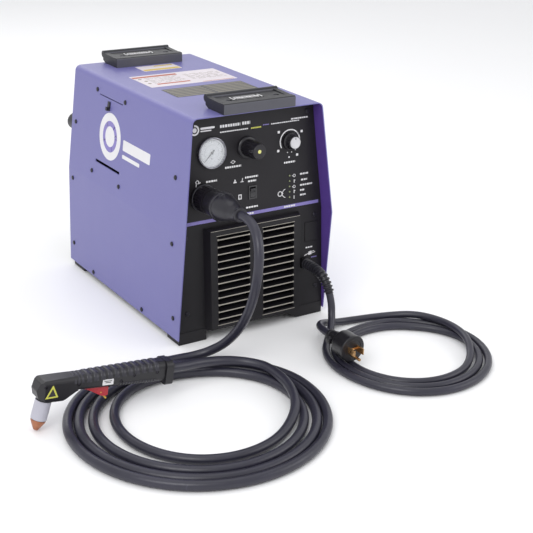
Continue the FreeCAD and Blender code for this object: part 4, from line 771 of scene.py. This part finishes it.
def setScrews(name, spots, finish, replaced, shape=screwShape):
    # spots are (place, facing, along) in the row frame
    bm = bmesh.new()
    sizes = {key: value / 1000 for key, value in shape.items()}
    head, height, shank, length = (sizes[key] for key in ("head", "height", "shank", "shankLength"))
    addTurned(bm, [(0, -length), (shank * 0.7, -length), (shank, -length * 0.9), (shank, -0.0001), (head, 0),
                   (head, height * 0.45), (head * 0.86, height * 0.8), (head * 0.55, height), (0, height)], 20)
    arm, wide, top = sizes["recessArm"], sizes["recess"] / 2, height * 1.002
    for x, y in ((arm, wide), (wide, arm)):
        addBox(bm, -x, x, -y, y, top, top + 0.00008)
    points = bpy.data.meshes.new(name + "Points")
    points.from_pydata([tuple(spot[0]) for spot in spots], [], [])
    for label, column in (("facing", 1), ("along", 2)):
        attribute = points.attributes.new(label, "FLOAT_VECTOR", "POINT")
        for i, spot in enumerate(spots):
            attribute.data[i].vector = spot[column]
    mesh = repeatPart(name, bm, setterTree, finish, {"Size": 1.0, "Twist": 6.28, "Seed": 7}, points)
    smoothEdges(mesh)
    settle(name, mesh, "root", replaced)
    return len(spots)


def spotOn(matrix):
    turn = matrix.to_3x3()
    return matrix.translation.copy(), (turn @ zUnit).normalized(), (turn @ xUnit).normalized()


rearY = caseShape["depth"] - caseShape["rearRecess"]
sideHoles = [(panelY(z) + back, z) for back, z in screwPlaces["sideFront"]]
sideHoles += [(rearY + back, z) for back, z in screwPlaces["sideRear"]] + screwPlaces["sideMiddle"]
rearSpots = [spotOn(onRear(x, z)) for x, z in screwPlaces["rear"]]
fanX, fanZ, fanReach = (fanPlace[k] for k in ("x", "z", "reach"))
rearSpots += [spotOn(onRear(fanX + i * fanReach, fanZ + j * fanReach, fanPlace["out"]))
              for i in (-1, 1) for j in (-1, 1)]
screwCount = setScrews("sideScrews", [spotOn(onSide(y, z, side)) for side in (-1, 1) for y, z in sideHoles],
                       "screwBlack", ["side_screws"])
screwCount += setScrews("frontScrews", [spotOn(onPanel(x, z)) for x, z in screwPlaces["front"]], "screwBlack",
                        ["front_screws"])
screwCount += setScrews("rearScrews", rearSpots, "screwBlack", ["rear_screws"])
screwCount += setScrews("handleScrews", [spotOn(onTop(x, y, 13.0)) for x, y in screwPlaces["handles"]], "screwBlack",
                        ["handle_screws"], handleScrewShape)
torchSeats = [torchMatrix @ Vector((x, screwPlaces["torchSeat"], z)) for x, z in screwPlaces["torch"]]
screwCount += setScrews("torchScrews", [(seat, torchSide, torchForward) for seat in torchSeats], "screwSteel",
                        ["torch_screws"], torchScrewShape)
print("screws set:", screwCount)

# gauge
gaugeLook = {
    "x": -72.7, "z": 306.8, "faceHeight": 1.42, "inkHeight": 0.06, "scaleRadius": 17.5, "first": 225.0, "sweep": 270.0,
    "innerRadius": 12.4, "ticks": {"gaugeMajorTicks": (7, 3.2, 0.6, 17.5), "gaugeMinorTicks": (31, 1.6, 0.25, 18.3)},
    "hub": [(0, 2.6), (2.4, 2.6), (2.4, 3.1), (1.6, 3.5), (0, 3.5)],
    "pointer": [(-5.0, 0.9), (-5.0, -0.9), (0, -0.95), (16.6, -0.25), (16.6, 0.25), (0, 0.95)],
    "rim": [(24.75, 3.4), (24.95, 4.2), (24.6, 5.2), (23.6, 5.75), (22.6, 5.3), (22.4, 4.7), (24.75, 3.4)],
}
gaugeBase = onPanel(gaugeLook["x"], gaugeLook["z"])
gaugeFace = onPanel(gaugeLook["x"], gaugeLook["z"], gaugeLook["faceHeight"])
for name, (count, length, width, radius) in gaugeLook["ticks"].items():
    bm = bmesh.new()
    addBox(bm, -length / 2, length / 2, -width / 2, width / 2, 0, gaugeLook["inkHeight"])
    mesh = repeatPart(name, bm, circleTree, "dialInk", {
        "Count": count, "Radius": radius, "First": math.radians(gaugeLook["first"]),
        "Spread": -math.radians(gaugeLook["sweep"]) / (count - 1)})
    mesh.transform(gaugeFace)
    settle(name, mesh, "root")
bm = bmesh.new()
for radius, width in ((gaugeLook["scaleRadius"] + 1.9, 0.3), (gaugeLook["innerRadius"], 0.22)):
    addArcBand(bm, radius, width, -45, 225, 0, gaugeLook["inkHeight"])
addPrism(bm, discOutline(1.1, (0, -9.5), 20), 0, gaugeLook["inkHeight"])
makePiece("gaugeScaleRings", bm, gaugeFace, "dialInk", slotName="dial_white")
bm = bmesh.new()
addTurned(bm, gaugeLook["hub"], 24)
restTurn = Matrix.Rotation(math.radians(gaugeLook["first"]), 2)
addPrism(bm, [tuple(restTurn @ Vector(point)) for point in gaugeLook["pointer"]], 2.55, 2.95)
makePiece("gaugeNeedleHub", bm, gaugeBase, "needleBlack", "needle", "needle_black", 0.1)
turnedPiece("gaugeRim", gaugeLook["rim"], 96, gaugeBase, "bezelMetal", slotName="bezel_metal")

# knobs
outputLook = {
    "x": 73.0, "z": 306.6, "ribs": 24, "ribHeight": 0.35, "ribSpan": (5.2, 14.6), "scaleRadius": 18.6,
    "body": [(0, 2.0), (13.2, 2.0), (14.0, 2.8), (13.8, 4.2), (12.4, 5.0), (12.0, 5.4), (11.6, 7.0), (11.3, 10.0),
             (11.0, 13.4), (10.6, 14.4), (9.9, 15.0), (0, 15.0)],
    "cap": [(0, 14.9), (9.2, 14.9), (9.5, 15.3), (9.4, 16.4), (8.8, 17.0), (7.6, 16.75), (0, 16.6)],
    "mark": [(-0.5, 5.2), (0.5, 5.2), (0.4, 8.9), (-0.4, 8.9)],
    "smallDots": (-56, -80, -104),
    "squares": ((-21.5, 17.0), (22.5, 13.5), (14.0, -24.0), (-22.5, -13.5)),
}
regulatorLook = {
    "x": -8.0, "z": 307.0,
    "dot": [(0, 36.6), (3.0, 36.6), (3.0, 37.1), (2.6, 37.35), (0, 37.4)],
    "ring": [(9.0, 36.8), (9.4, 37.25), (9.9, 37.25), (10.3, 36.8), (9.0, 36.8)],
    "collar": [(17.2, 0.0), (17.9, 0.3), (17.9, 3.4), (16.8, 4.6), (15.4, 5.2), (12.6, 5.3), (11.6, 4.6), (10.4, 4.6),
               (10.4, 4.15), (16.9, 4.15), (17.2, 0.0)],
}


def fluted(look):
    # a radius that waves round the piece between two heights
    def wave(angle, radius, height):
        low, high = look["ribSpan"]
        return radius + look["ribHeight"] * math.cos(look["ribs"] * angle) if low < height < high else radius
    return wave


outputBase = onPanel(outputLook["x"], outputLook["z"])
turnedPiece("outputKnobBody", outputLook["body"], 144, outputBase, "knobBlack", fluted(outputLook),
            body="current_knob", slotName="knob_black", replaced=["output_knob"])
turnedPiece("outputKnobCap", outputLook["cap"], 72, outputBase, "knobCap", body="current_knob", slotName="knob_black")
flatPiece("outputKnobMark", [outputLook["mark"]], 16.7, 17.02, outputBase, "inkDark", body="current_knob",
          slotName="knob_black")
bm = bmesh.new()
addArcBand(bm, outputLook["scaleRadius"], 2.0, -30, 210, 0.02, 0.2)
for angle in outputLook["smallDots"]:
    turn = math.radians(angle)
    spot = (outputLook["scaleRadius"] * math.cos(turn), outputLook["scaleRadius"] * math.sin(turn))
    addPrism(bm, discOutline(0.9, spot, 14), 0.02, 0.2)
for spot in outputLook["squares"]:
    addPrism(bm, roundedOutline(4.2, 4.0, 0.7, 3, spot), 0.02, 0.2)
makePiece("outputScale", bm, outputBase, "inkWhite", slotName="dial_white")
regulatorBase = onPanel(regulatorLook["x"], regulatorLook["z"])
turnedPiece("regulatorDot", regulatorLook["dot"], 36, regulatorBase, "dotYellow", body="pressure_knob",
            slotName="dial_white")
turnedPiece("regulatorRing", regulatorLook["ring"], 72, regulatorBase, "knobBlack", body="pressure_knob",
            slotName="knob_black")
turnedPiece("regulatorCollar", regulatorLook["collar"], 72, regulatorBase, "knobBlack", slotName="knob_black")
print("gauge and knobs made")

# printed marks on the front panel: plain dashes in place of captions, and simple symbols
printHeight = (0.02, 0.16)
overprint = 0.12
leanStretch = math.sqrt(1 + caseShape["panelLean"] ** 2)
captionDashes = [  # from x, to x, height above the floor, letter height, seed, gap
    (-56.5, -20, 345.6, 4.6, 11, 1.1), (-16.5, -2.0, 346.0, 5.0, 12, 1.0), (-56.6, -5.9, 336.6, 1.9, 13, 0.6),
    (37.0, 90.4, 338.6, 1.7, 14, 0.6), (74.9, 108.0, 342.2, 2.4, 15, 0.7), (-48.6, -19.3, 279.3, 3.2, 16, 0.9),
    (-83.1, -63.4, 261.7, 3.0, 17, 0.9), (-12.2, 12.2, 258.4, 2.9, 18, 0.9), (-6.6, 8.4, 251.6, 2.9, 19, 0.9),
    (-10.8, 12.0, 208.8, 2.9, 20, 0.9), (61.7, 83.0, 272.2, 3.0, 21, 0.9), (93.1, 109.0, 249.4, 2.9, 22, 0.9),
    (95.2, 107.1, 239.4, 2.9, 23, 0.9), (93.3, 117.0, 230.7, 2.9, 24, 0.9), (93.4, 101.6, 222.2, 2.9, 25, 0.9),
    (93.4, 105.4, 214.2, 2.9, 26, 0.9), (105.5, 119.0, 120.8, 2.4, 27, 0.9)]
captionRings = [  # x, z, radius, width, start, end, steps
    (-33.9, 286.8, 2.4, 0.9, 0, 360, 20), (-98.5, 263.4, 2.6, 1.2, -60, 230, 18), (81.6, 248.5, 2.2, 0.9, 0, 360, 18),
    (81.6, 230.0, 2.2, 0.9, 0, 360, 18), (54.1, 221.6, 3.9, 1.2, 0, 360, 24), (65.5, 221.2, 7.0, 1.0, 100, 260, 20)]
ringTail = rectangle(-4.0, -2.6, -0.5, 0.5)
post, flag = rectangle(-0.6, 0.6, -2.8, 2.8), rectangle(0.6, 2.4, 0.9, 1.9)
captionShapes = [  # x, z, outlines about that place
    (-33.9, 286.8, [rectangle(-4.6, -2.6, -0.5, 0.5), rectangle(2.6, 4.6, -0.5, 0.5)]),
    (-98.5, 263.4, [[(0.6, -3.4), (5.8, -1.6), (5.4, -0.4), (0.2, -2.0)],
                    [(-3.0, -7.0), (-1.8, -7.0), (-1.2, -2.4), (-2.4, -2.4)]]),
    (-30.7, 255.0, [[(-3.4, -2.6), (3.4, -2.6), (2.2, -0.6), (-2.2, -0.6)],
                    [(-1.8, 0.0), (1.8, 0.0), (0.2, 3.4), (-0.2, 3.4)]]),
    (-17.8, 255.3, [rectangle(-3.0, 3.0, -3.2, -2.2), [(-0.6, -2.2), (0.6, -2.2), (1.8, 3.0), (0.8, 3.4)]]),
    (-21.8, 228.3, [rectangle(-3.0, -1.6, -4.0, 4.0), rectangle(1.6, 3.0, -4.0, 4.0), rectangle(-1.6, 1.6, 2.6, 4.0),
                    rectangle(-1.6, 1.6, -4.0, -2.6)]),
    (81.6, 248.5, [ringTail]), (81.6, 230.0, [ringTail]), (81.6, 239.2, [post, flag]), (81.6, 221.8, [post, flag]),
    (81.6, 212.4, [post]), (54.1, 221.6, [rectangle(3.9, 6.0, -0.5, 0.5)]),
    (114.0, 110.2, [[(-2.8, -3.4), (3.4, -2.6), (3.4, 3.6), (-2.8, 2.6)],
                    [(-11.0, -3.4), (-2.8, -1.0), (-2.8, 0.4), (-11.0, -2.0)],
                    [(3.4, -1.6), (11.0, 0.0), (11.0, 1.2), (3.4, -0.4)],
                    [(3.4, 1.2), (9.0, 2.4), (9.0, 3.4), (3.4, 2.2)]])]
header = {"disc": (-101.3, 344.8), "discRadius": 8.2, "ringRadius": 4.6, "ringWidth": 1.9}
stripeLook = {"left": -127.0, "right": 130.0, "bottom": 195.6, "top": 201.0}


def dashRow(bm, x0, x1, z, height, seed, gap):
    draw = random.Random(seed)
    x = x0
    while x < x1 - 0.6:
        width = min(draw.uniform(2.2, 4.4), x1 - x)
        addPrism(bm, roundedOutline(width, height, min(height, width) * 0.25, 2, (x + width / 2, z)), *printHeight)
        x += width + gap


def panelMarks(name, bm, finish, raised=0.0):
    # marks are drawn with y as the height above the floor
    for vert in bm.verts:
        vert.co.y *= leanStretch
        vert.co.z += raised
    makePiece(name, bm, onPanel(0, 0), finish, slotName="dial_white")


bm = bmesh.new()
addPrism(bm, discOutline(header["discRadius"], header["disc"]), *printHeight)
addPrism(bm, roundedOutline(25.0, 3.2, 1.0, 3, (-78.5, 346.2)), *printHeight)
addPrism(bm, roundedOutline(19.0, 1.8, 0.6, 3, (-81.5, 342.0)), *printHeight)
addPrism(bm, discOutline(1.4, (71.4, 280.5), 18), *printHeight)
for row in captionDashes:
    dashRow(bm, *row)
for x, z, radius, width, start, end, steps in captionRings:
    addArcBand(bm, radius, width, start, end, *printHeight, (x, z), steps)
for x, z, outlines in captionShapes:
    for outline in outlines:
        addPrism(bm, [(x + a, z + b) for a, b in outline], *printHeight)
panelMarks("panelCaptions", bm, "inkWhite")
bm = bmesh.new()
addArcBand(bm, header["ringRadius"], header["ringWidth"], 0, 360, *printHeight, header["disc"], 36)
panelMarks("headerDiscRing", bm, "inkDark", overprint)
bm = bmesh.new()
dashRow(bm, -0.4, 18.4, 336.4, 2.2, 31, 0.5)
panelMarks("headerAccent", bm, "inkYellow")
bm = bmesh.new()
addPrism(bm, rectangle(*(stripeLook[k] for k in ("left", "right", "bottom", "top"))), *printHeight)
dashRow(bm, 21.9, 33.0, 338.9, 1.6, 32, 0.5)
dashRow(bm, 117.0, 128.0, 102.2, 1.8, 33, 0.5)
panelMarks("panelStripe", bm, "inkPurple")
bm = bmesh.new()
dashRow(bm, 62.0, 83.6, 198.5, 2.8, 34, 0.7)
dashRow(bm, -9.0, 4.5, 198.4, 2.8, 35, 0.7)
panelMarks("stripeCaptions", bm, "inkWhite", overprint)

# louvres: a rounded strip of painted highlight along the front of every slat, swelling into painted highlight dots at
# the slat ends, and painted highlight lines on their frame
grilleLook = {
    "forward": 14.0, "inner": 12.5, "outer": 72.5, "count": 12, "pitch": 12.15, "firstEdge": 169.66, "edge": 1.1,
    "edgeDepth": 0.77, "edgeForward": 0.3, "endSwell": 1.5, "frameLines": (176.2, 26.1), "header": (84.0, 184.4, 185.1)}


def slatHighlightRow(name, startX, look):
    bm = bmesh.new()
    length, swell = look["outer"] - look["inner"], look["endSwell"]
    rings = []
    # the rings swell near both ends into painted highlight dots
    for x, size in ((0.0, 1.0), (0.3, swell), (1.7, swell), (2.1, 1.0), (length - 2.1, 1.0), (length - 1.7, swell),
                    (length - 0.3, swell), (length, 1.0)):
        rings.append([bm.verts.new((x, look["edgeDepth"] / look["edge"] * y * size, z * size))
                      for y, z in discOutline(look["edge"], steps=8)])
    addTube(bm, rings)
    z = look["firstEdge"]
    mesh = repeatPart(name, bm, rowTree, "slatEdge", {
        "Count": look["count"], "Start": (startX, panelY(z) - look["forward"] + look["edgeForward"], z),
        "Step": (0.0, -caseShape["panelLean"] * look["pitch"], -look["pitch"])})
    mesh.transform(caseMatrix)
    smoothEdges(mesh)
    settle(name, mesh, "root")


slatHighlightRow("louvreEdgesLeft", -grilleLook["outer"], grilleLook)
slatHighlightRow("louvreEdgesRight", grilleLook["inner"], grilleLook)
# painted highlight lines along the top and bottom of each louvre bank and across the header above them
bm = bmesh.new()
for side in (-1, 1):
    x0, x1 = sorted((side * grilleLook["inner"], side * grilleLook["outer"]))
    for z in grilleLook["frameLines"]:
        frontY = panelY(z) - grilleLook["forward"]
        addBox(bm, x0 - 1.5, x1 + 1.5, frontY - 0.35, frontY + 0.4, z - 0.45, z + 0.45)
reach, z0, z1 = grilleLook["header"]
frontY = panelY(184.6) - grilleLook["forward"]
addBox(bm, -reach, reach, frontY - 0.3, frontY + 0.5, z0, z1)
makePiece("louvreFrameLines", bm, caseMatrix, "slatEdge", bevel=0.15)
print("panel prints and louvres made")

# side and top graphics
sideGraphic = {"y": 264.0, "z": 279.0, "discRadius": 40.0, "ringRadius": 22.0, "ringWidth": 9.0, "barStart": 50.0,
               "bars": ((96.0, 18.0, -2.0), (62.0, 6.4, -21.0))}  # length, height, place up
for side, word in ((-1, "Left"), (1, "Right")):
    base = onSide(sideGraphic["y"], sideGraphic["z"], side)
    outlines = [discOutline(sideGraphic["discRadius"], steps=72)]
    for length, height, up in sideGraphic["bars"]:
        outlines.append(roundedOutline(length, height, 2.0, 3, (-side * (sideGraphic["barStart"] + length / 2), up)))
    flatPiece("sideDisc" + word, outlines, 0.02, 0.14, base, "inkWhite", slotName="dial_white")
    bm = bmesh.new()
    addArcBand(bm, sideGraphic["ringRadius"], sideGraphic["ringWidth"], 0, 360, 0.14, 0.24, steps=56)
    makePiece("sideRing" + word, bm, base, "inkPurple", slotName="cover_paint")

stripes = [(x0, x1, 131.0 + row * 9.2, 134.2 + row * 9.2) for row in range(6) for x0, x1 in ((-70, -2), (4, 76))]
topLabels = {  # x and y of the label, its stock, corner radius, rows printed on it, their ink
    "topLabelSmall": ((-34, 40, 317, 356), "labelStock", 2.0, [(-32, 38, 319, 330), (0, 36, 346, 352)], "inkGold"),
    "topLabelLarge": ((-79, 86, 205, 290), "labelStock", 2.0,
                      [(-78, 6, 274, 283), (-59, 3, 219.5, 226), (20, 80, 207.5, 209.5)], "inkOrange"),
    "topLabelStriped": ((-73, 79, 128, 185), "inkDark", 1.0, stripes, "inkTan"),
}
topBase = onTop(0, 0)


def makeLabel(name):
    (x0, x1, y0, y1), stock, radius, rows, ink = topLabels[name]
    outline = roundedOutline(x1 - x0, y1 - y0, radius, 4, ((x0 + x1) / 2, (y0 + y1) / 2))
    flatPiece(name, [outline], 0.02, 0.18, topBase, stock, slotName="dial_white")
    flatPiece(name + "Rows", [rectangle(*row) for row in rows], 0.18, 0.26, topBase, ink, slotName="dial_white")


makeLabel("topLabelSmall")
makeLabel("topLabelLarge")
draw = random.Random(5)
outlines = []
for row in range(9):
    y = 231.0 + row * 4.8
    for start, end in ((-60, 2), (14, 80)):
        x = start
        while x < end - 4:
            stop = min(x + draw.uniform(5, 15), end)
            outlines.append(rectangle(x, stop, y, y + 1.1))
            x = stop + draw.uniform(1.5, 9.0)
outlines += [discOutline(3.2, centre, 20) for centre in ((-66, 250), (-68, 233), (-70, 266))]
flatPiece("topLabelLines", outlines, 0.18, 0.24, topBase, "inkTan", slotName="dial_white")
makeLabel("topLabelStriped")
print("graphics made")

# handles: recessed plates with plain dashes
platePlaces = {"Front": (-8.0, 28.0), "Rear": (-8.0, 393.0)}
for word, (x0, y0) in platePlaces.items():
    flatPiece("handlePlate" + word, [roundedOutline(56.0, 19.0, 2.0, 4, (x0, y0))], 15.5, 16.0, topBase,
              "mouldingBlack", bevel=0.15)
    draw = random.Random(9)
    bm = bmesh.new()
    x = x0 - 22.0
    while x < x0 + 20.0:
        width = draw.uniform(2.6, 4.8)
        addPrism(bm, roundedOutline(width, 5.4, 0.8, 2, (x + width / 2, y0)), 15.95, 16.12)
        x += width + 1.0
    for start in (162, -18):
        addArcBand(bm, 26.0, 2.0, start, start + 36, 15.95, 16.12, (x0, y0), 12)
    for y in (y0 + 6.6, y0 - 6.6):
        addPrism(bm, roundedOutline(40.0, 1.0, 0.3, 2, (x0, y)), 15.95, 16.12)
    makePiece("handlePlateMarks" + word, bm, topBase, "inkWhite", slotName="dial_white")

# rubber boot at the torch connection
bootLook = {
    "body": [(0, 57.0), (21.6, 57.0), (22.9, 57.6), (23.4, 58.8), (23.4, 61.8), (22.8, 63.2), (21.9, 63.8),
             (22.0, 64.4), (21.2, 70.0), (19.4, 78.0), (17.2, 86.0), (15.2, 92.0), (13.9, 94.4), (12.9, 99.0), (11.9, 104.0),
             (10.6, 108.2), (10.6, 109.0), (11.0, 109.8), (11.0, 113.4), (10.4, 114.6), (9.2, 115.0), (0, 115.0)],
    "trim": [(17.6, 5.0), (21.4, 5.0), (22.0, 5.6), (22.0, 6.3), (21.2, 6.8), (17.6, 6.8), (17.6, 5.0)],
}
bootBase = onPanel(boot["x"], boot["z"])
turnedPiece("torchBootBody", bootLook["body"], 72, bootBase, "bootRubber", slotName="cable_rubber",
            replaced=["torch_boot"])
turnedPiece("socketTrimRing", bootLook["trim"], 72, bootBase, "torchRib", slotName="torch_black")

# cord relief: ribs along its bend
reliefLook = {"gland": (101.0, 96.0), "start": 6.0, "straight": 42.0, "radius": 9.1, "neck": 6.7, "ribs": 13,
              "perRib": 6, "taper": 0.08, "ends": (8.0, 7.2), "segments": 28}


def sampledLine(points, count):
    # evenly spaced (place, direction) along the smooth line that these points steer
    mesh = bakedMesh(nurbsCurve("lineSampler", points, 24), "lineSampler")
    line = [v.co.copy() for v in mesh.vertices]
    bpy.data.meshes.remove(mesh)
    lengths = [0.0]
    for first, second in zip(line, line[1:]):
        lengths.append(lengths[-1] + (second - first).length)
    samples, k = [], 0
    for i in range(count):
        wanted = lengths[-1] * i / (count - 1)
        while k < len(line) - 2 and lengths[k + 1] < wanted:
            k += 1
        share = (wanted - lengths[k]) / max(1e-9, lengths[k + 1] - lengths[k])
        samples.append((line[k].lerp(line[k + 1], min(1.0, share)), (line[k + 1] - line[k]).normalized()))
    return samples


reliefLine = [panelPoint(*reliefLook["gland"], reliefLook["start"]),
              panelPoint(*reliefLook["gland"], reliefLook["straight"]), reliefEnd - reliefDown * 18.4, reliefEnd]
ringCount = reliefLook["ribs"] * reliefLook["perRib"]
bm = bmesh.new()
rings, across = [], None
for i, (place, direction) in enumerate(sampledLine(reliefLine, ringCount + 1)):
    raised = i % reliefLook["perRib"] in (1, 2, 3)
    radius = (reliefLook["radius"] if raised else reliefLook["neck"]) * (1.0 - reliefLook["taper"] * i / ringCount)
    if i in (0, ringCount):
        radius = reliefLook["ends"][0 if i == 0 else 1]
    across = across - direction * across.dot(direction) if across else direction.orthogonal()
    across.normalize()
    upward = direction.cross(across)
    rings.append([bm.verts.new(place + across * a + upward * b)
                  for a, b in discOutline(radius, steps=reliefLook["segments"])])
addTube(bm, rings)
makePiece("cordReliefRibbed", bm, caseMatrix, "bootRubber", slotName="cable_rubber", replaced=["cord_relief"])

# plug
plugMatrix = axesMatrix(plugLook["face"], xUnit, -zUnit, yUnit)
turnedPiece("plugShell", plugLook["shell"], 120, plugMatrix, "torchBlack", fluted(plugLook), slotName="cable_rubber",
            replaced=["plug_body"])
bm = bmesh.new()
addTurned(bm, plugLook["clamp"], 60)
ear = plugLook["ear"]
halfX, halfY = ear["half"]
for x in (-ear["x"], ear["x"]):
    addBox(bm, x - halfX, x + halfX, -halfY, halfY, ear["from"], ear["to"])
makePiece("plugClampBody", bm, plugMatrix, "torchBlack", slotName="cable_rubber", bevel=0.5, replaced=["plug_clamp"])
plugUp = (plugMatrix.to_3x3() @ -yUnit).normalized()
plugSeats = [plugMatrix @ Vector((x, -halfY, (ear["from"] + ear["to"]) / 2)) for x in (-ear["x"], ear["x"])]
setScrews("plugScrews", [(seat, plugUp, xUnit) for seat in plugSeats], "screwSteel", (), plugScrewShape)
bm = bmesh.new()
addBox(bm, -8.0, 8.0, -1.6, 1.6, -0.2, 0.7)
makePiece("plugFaceBar", bm, plugMatrix, "bladeBrass", slotName="blade_brass", bevel=0.2)
print("connector, relief and plug made")

# torch: handle halves, ribs over and under them, then the plates and marks
for node in ("torch_shell_left", "torch_shell_right"):
    roundedCopy(node, "torchBlack", 0.9, 3)
torchLook = {
    "halfWidth": 14.0, "top": 16.4, "topRadius": 9.0, "topSlope": -0.04, "low": 13.9, "lowRadius": 6.0,
    "lowSlope": 0.0231, "ribProfile": ((-0.5, -0.3), (-0.44, 0.45), (-0.3, 0.85), (0.0, 1.0), (0.3, 0.85), (0.44, 0.45),
                                       (0.5, -0.3)),
    "ribRows": {  # upper, reach down the side, width, height, count, first, pitch
        "torchGripRibs": (True, 1.2, 8.0, 1.2, 11, 27.0, 10.7),
        "torchFineRibs": (True, 0.4, 3.6, 0.7, 3, 144.0, 5.6),
        "torchLowerRibs": (False, 0.2, 2.8, 0.9, 13, 30.0, 4.6)},
}


def archLine(upper, reach, offset):
    # outline round the top or the bottom of the handle, from side to side, pushed out by offset
    half = torchLook["halfWidth"]
    radius, edge = (torchLook[k] for k in (("topRadius", "top") if upper else ("lowRadius", "low")))
    points = [(half + offset, edge - radius - reach)]
    for step in range(7):
        angle = math.radians(90 * step / 6)
        points.append((half - radius + (radius + offset) * math.cos(angle),
                       edge - radius + (radius + offset) * math.sin(angle)))
    points += [(-y, z) for y, z in reversed(points)]
    return points if upper else [(y, -z) for y, z in points]


def addArchBand(bm, upper, reach, stations):
    # a rounded band across the handle: stations are (x, height above the skin)
    grid, inner = ([[bm.verts.new((x, y, z)) for y, z in archLine(upper, reach, -0.8 if sunk else height)]
                    for x, height in stations] for sunk in (False, True))
    count = len(grid[0])
    strips = list(zip(grid, grid[1:])) + list(zip(inner, inner[1:])) + [(grid[0], inner[0]), (grid[-1], inner[-1])]
    for a, b in strips:
        for k in range(count - 1):
            bm.faces.new((a[k], a[k + 1], b[k + 1], b[k]))
    for k in (0, count - 1):
        for n in range(len(grid) - 1):
            bm.faces.new((grid[n][k], grid[n + 1][k], inner[n + 1][k], inner[n][k]))


for name, (upper, reach, width, height, count, start, pitch) in torchLook["ribRows"].items():
    bm = bmesh.new()
    addArchBand(bm, upper, reach, [(width * a, height * b) for a, b in torchLook["ribProfile"]])
    slope = torchLook["topSlope" if upper else "lowSlope"]
    mesh = repeatPart(name, bm, rowTree, "torchRib", {"Count": count, "Start": (start, 0.0, slope * start),
                                                      "Step": (pitch, 0.0, slope * pitch)})
    mesh.transform(torchMatrix)
    smoothEdges(mesh, 40)
    settle(name, mesh, "root")


def torchSideMatrix(x, z, side):
    # y up, z out of that side of the handle
    origin = torchAxis["rear"] + torchForward * x + torchSide * (side * torchLook["halfWidth"]) + torchUpward * z
    return axesMatrix(origin, torchForward * -side, torchUpward, torchSide * side)


plateRows = [roundedOutline(length, 1.1, 0.4, 2, (0, row)) for row, length in ((1.6, 12.0), (-0.6, 8.5))]
triangle = [(-10.0, -9.0), (9.2, -8.2), (0.9, 9.6), (-0.1, 9.6)]
triangleCore = [(-6.2, -6.6), (5.6, -6.0), (0.5, 4.8), (0.1, 4.8)]
for side, word in ((1, "Near"), (-1, "Far")):
    plateBase, markBase = torchSideMatrix(105.0, -2.8, side), torchSideMatrix(189.0, -7.6, side)
    flatPiece("torchPlate" + word, [roundedOutline(17.0, 8.6, 0.8, 4)], -0.2, 0.3, plateBase, "inkWhite",
              slotName="dial_white")
    flatPiece("torchPlateRows" + word, plateRows, 0.3, 0.38, plateBase, "inkDark", slotName="torch_black")
    flatPiece("torchMark" + word, [triangle], -0.2, 0.3, markBase, "inkYellow", slotName="lock_yellow")
    flatPiece("torchMarkCore" + word, [triangleCore], 0.3, 0.42, markBase, "inkDark", slotName="torch_black")
print("torch made")

# rear plate and earth mark
rearPlate = {"x": -58.0, "z": 300.0, "size": (58.0, 34.0), "rows": 5, "pitch": 5.5}
rearBase = onRear(rearPlate["x"], rearPlate["z"])
flatPiece("rearPlate", [roundedOutline(*rearPlate["size"], 2.0, 4)], 0.02, 0.3, rearBase, "labelStock",
          slotName="dial_white")
rows = [(25 - 8 * (row % 2), row * rearPlate["pitch"]) for row in range(rearPlate["rows"])]
flatPiece("rearPlateRows", [rectangle(-25, end, y - 12, y - 10.6) for end, y in rows], 0.3, 0.38, rearBase, "inkDark",
          slotName="dial_white")
turnedPiece("rearEarthMark", [(8.0, 0.02), (9.4, 0.02), (9.4, 0.3), (8.0, 0.3), (8.0, 0.02)], 40, onRear(104.0, 206.0),
            "inkWhite", slotName="dial_white")

# floor
bm = bmesh.new()
bmesh.ops.create_grid(bm, x_segments=8, y_segments=8, size=studio["floorSize"])
studioFloor = newObject("studioFloor", plainMesh("studioFloor", bm))
studioFloor.data.materials.append(surface(
    "floorPaper", (*studio["floorColour"], 1), (*(c * 0.985 for c in studio["floorColour"]), 1), 0.75,
    grainScale=120.0, grainHeight=0.02, shadeScale=2.0, rub=0.06))
studioFloor.location.z = -studio["floorDrop"]
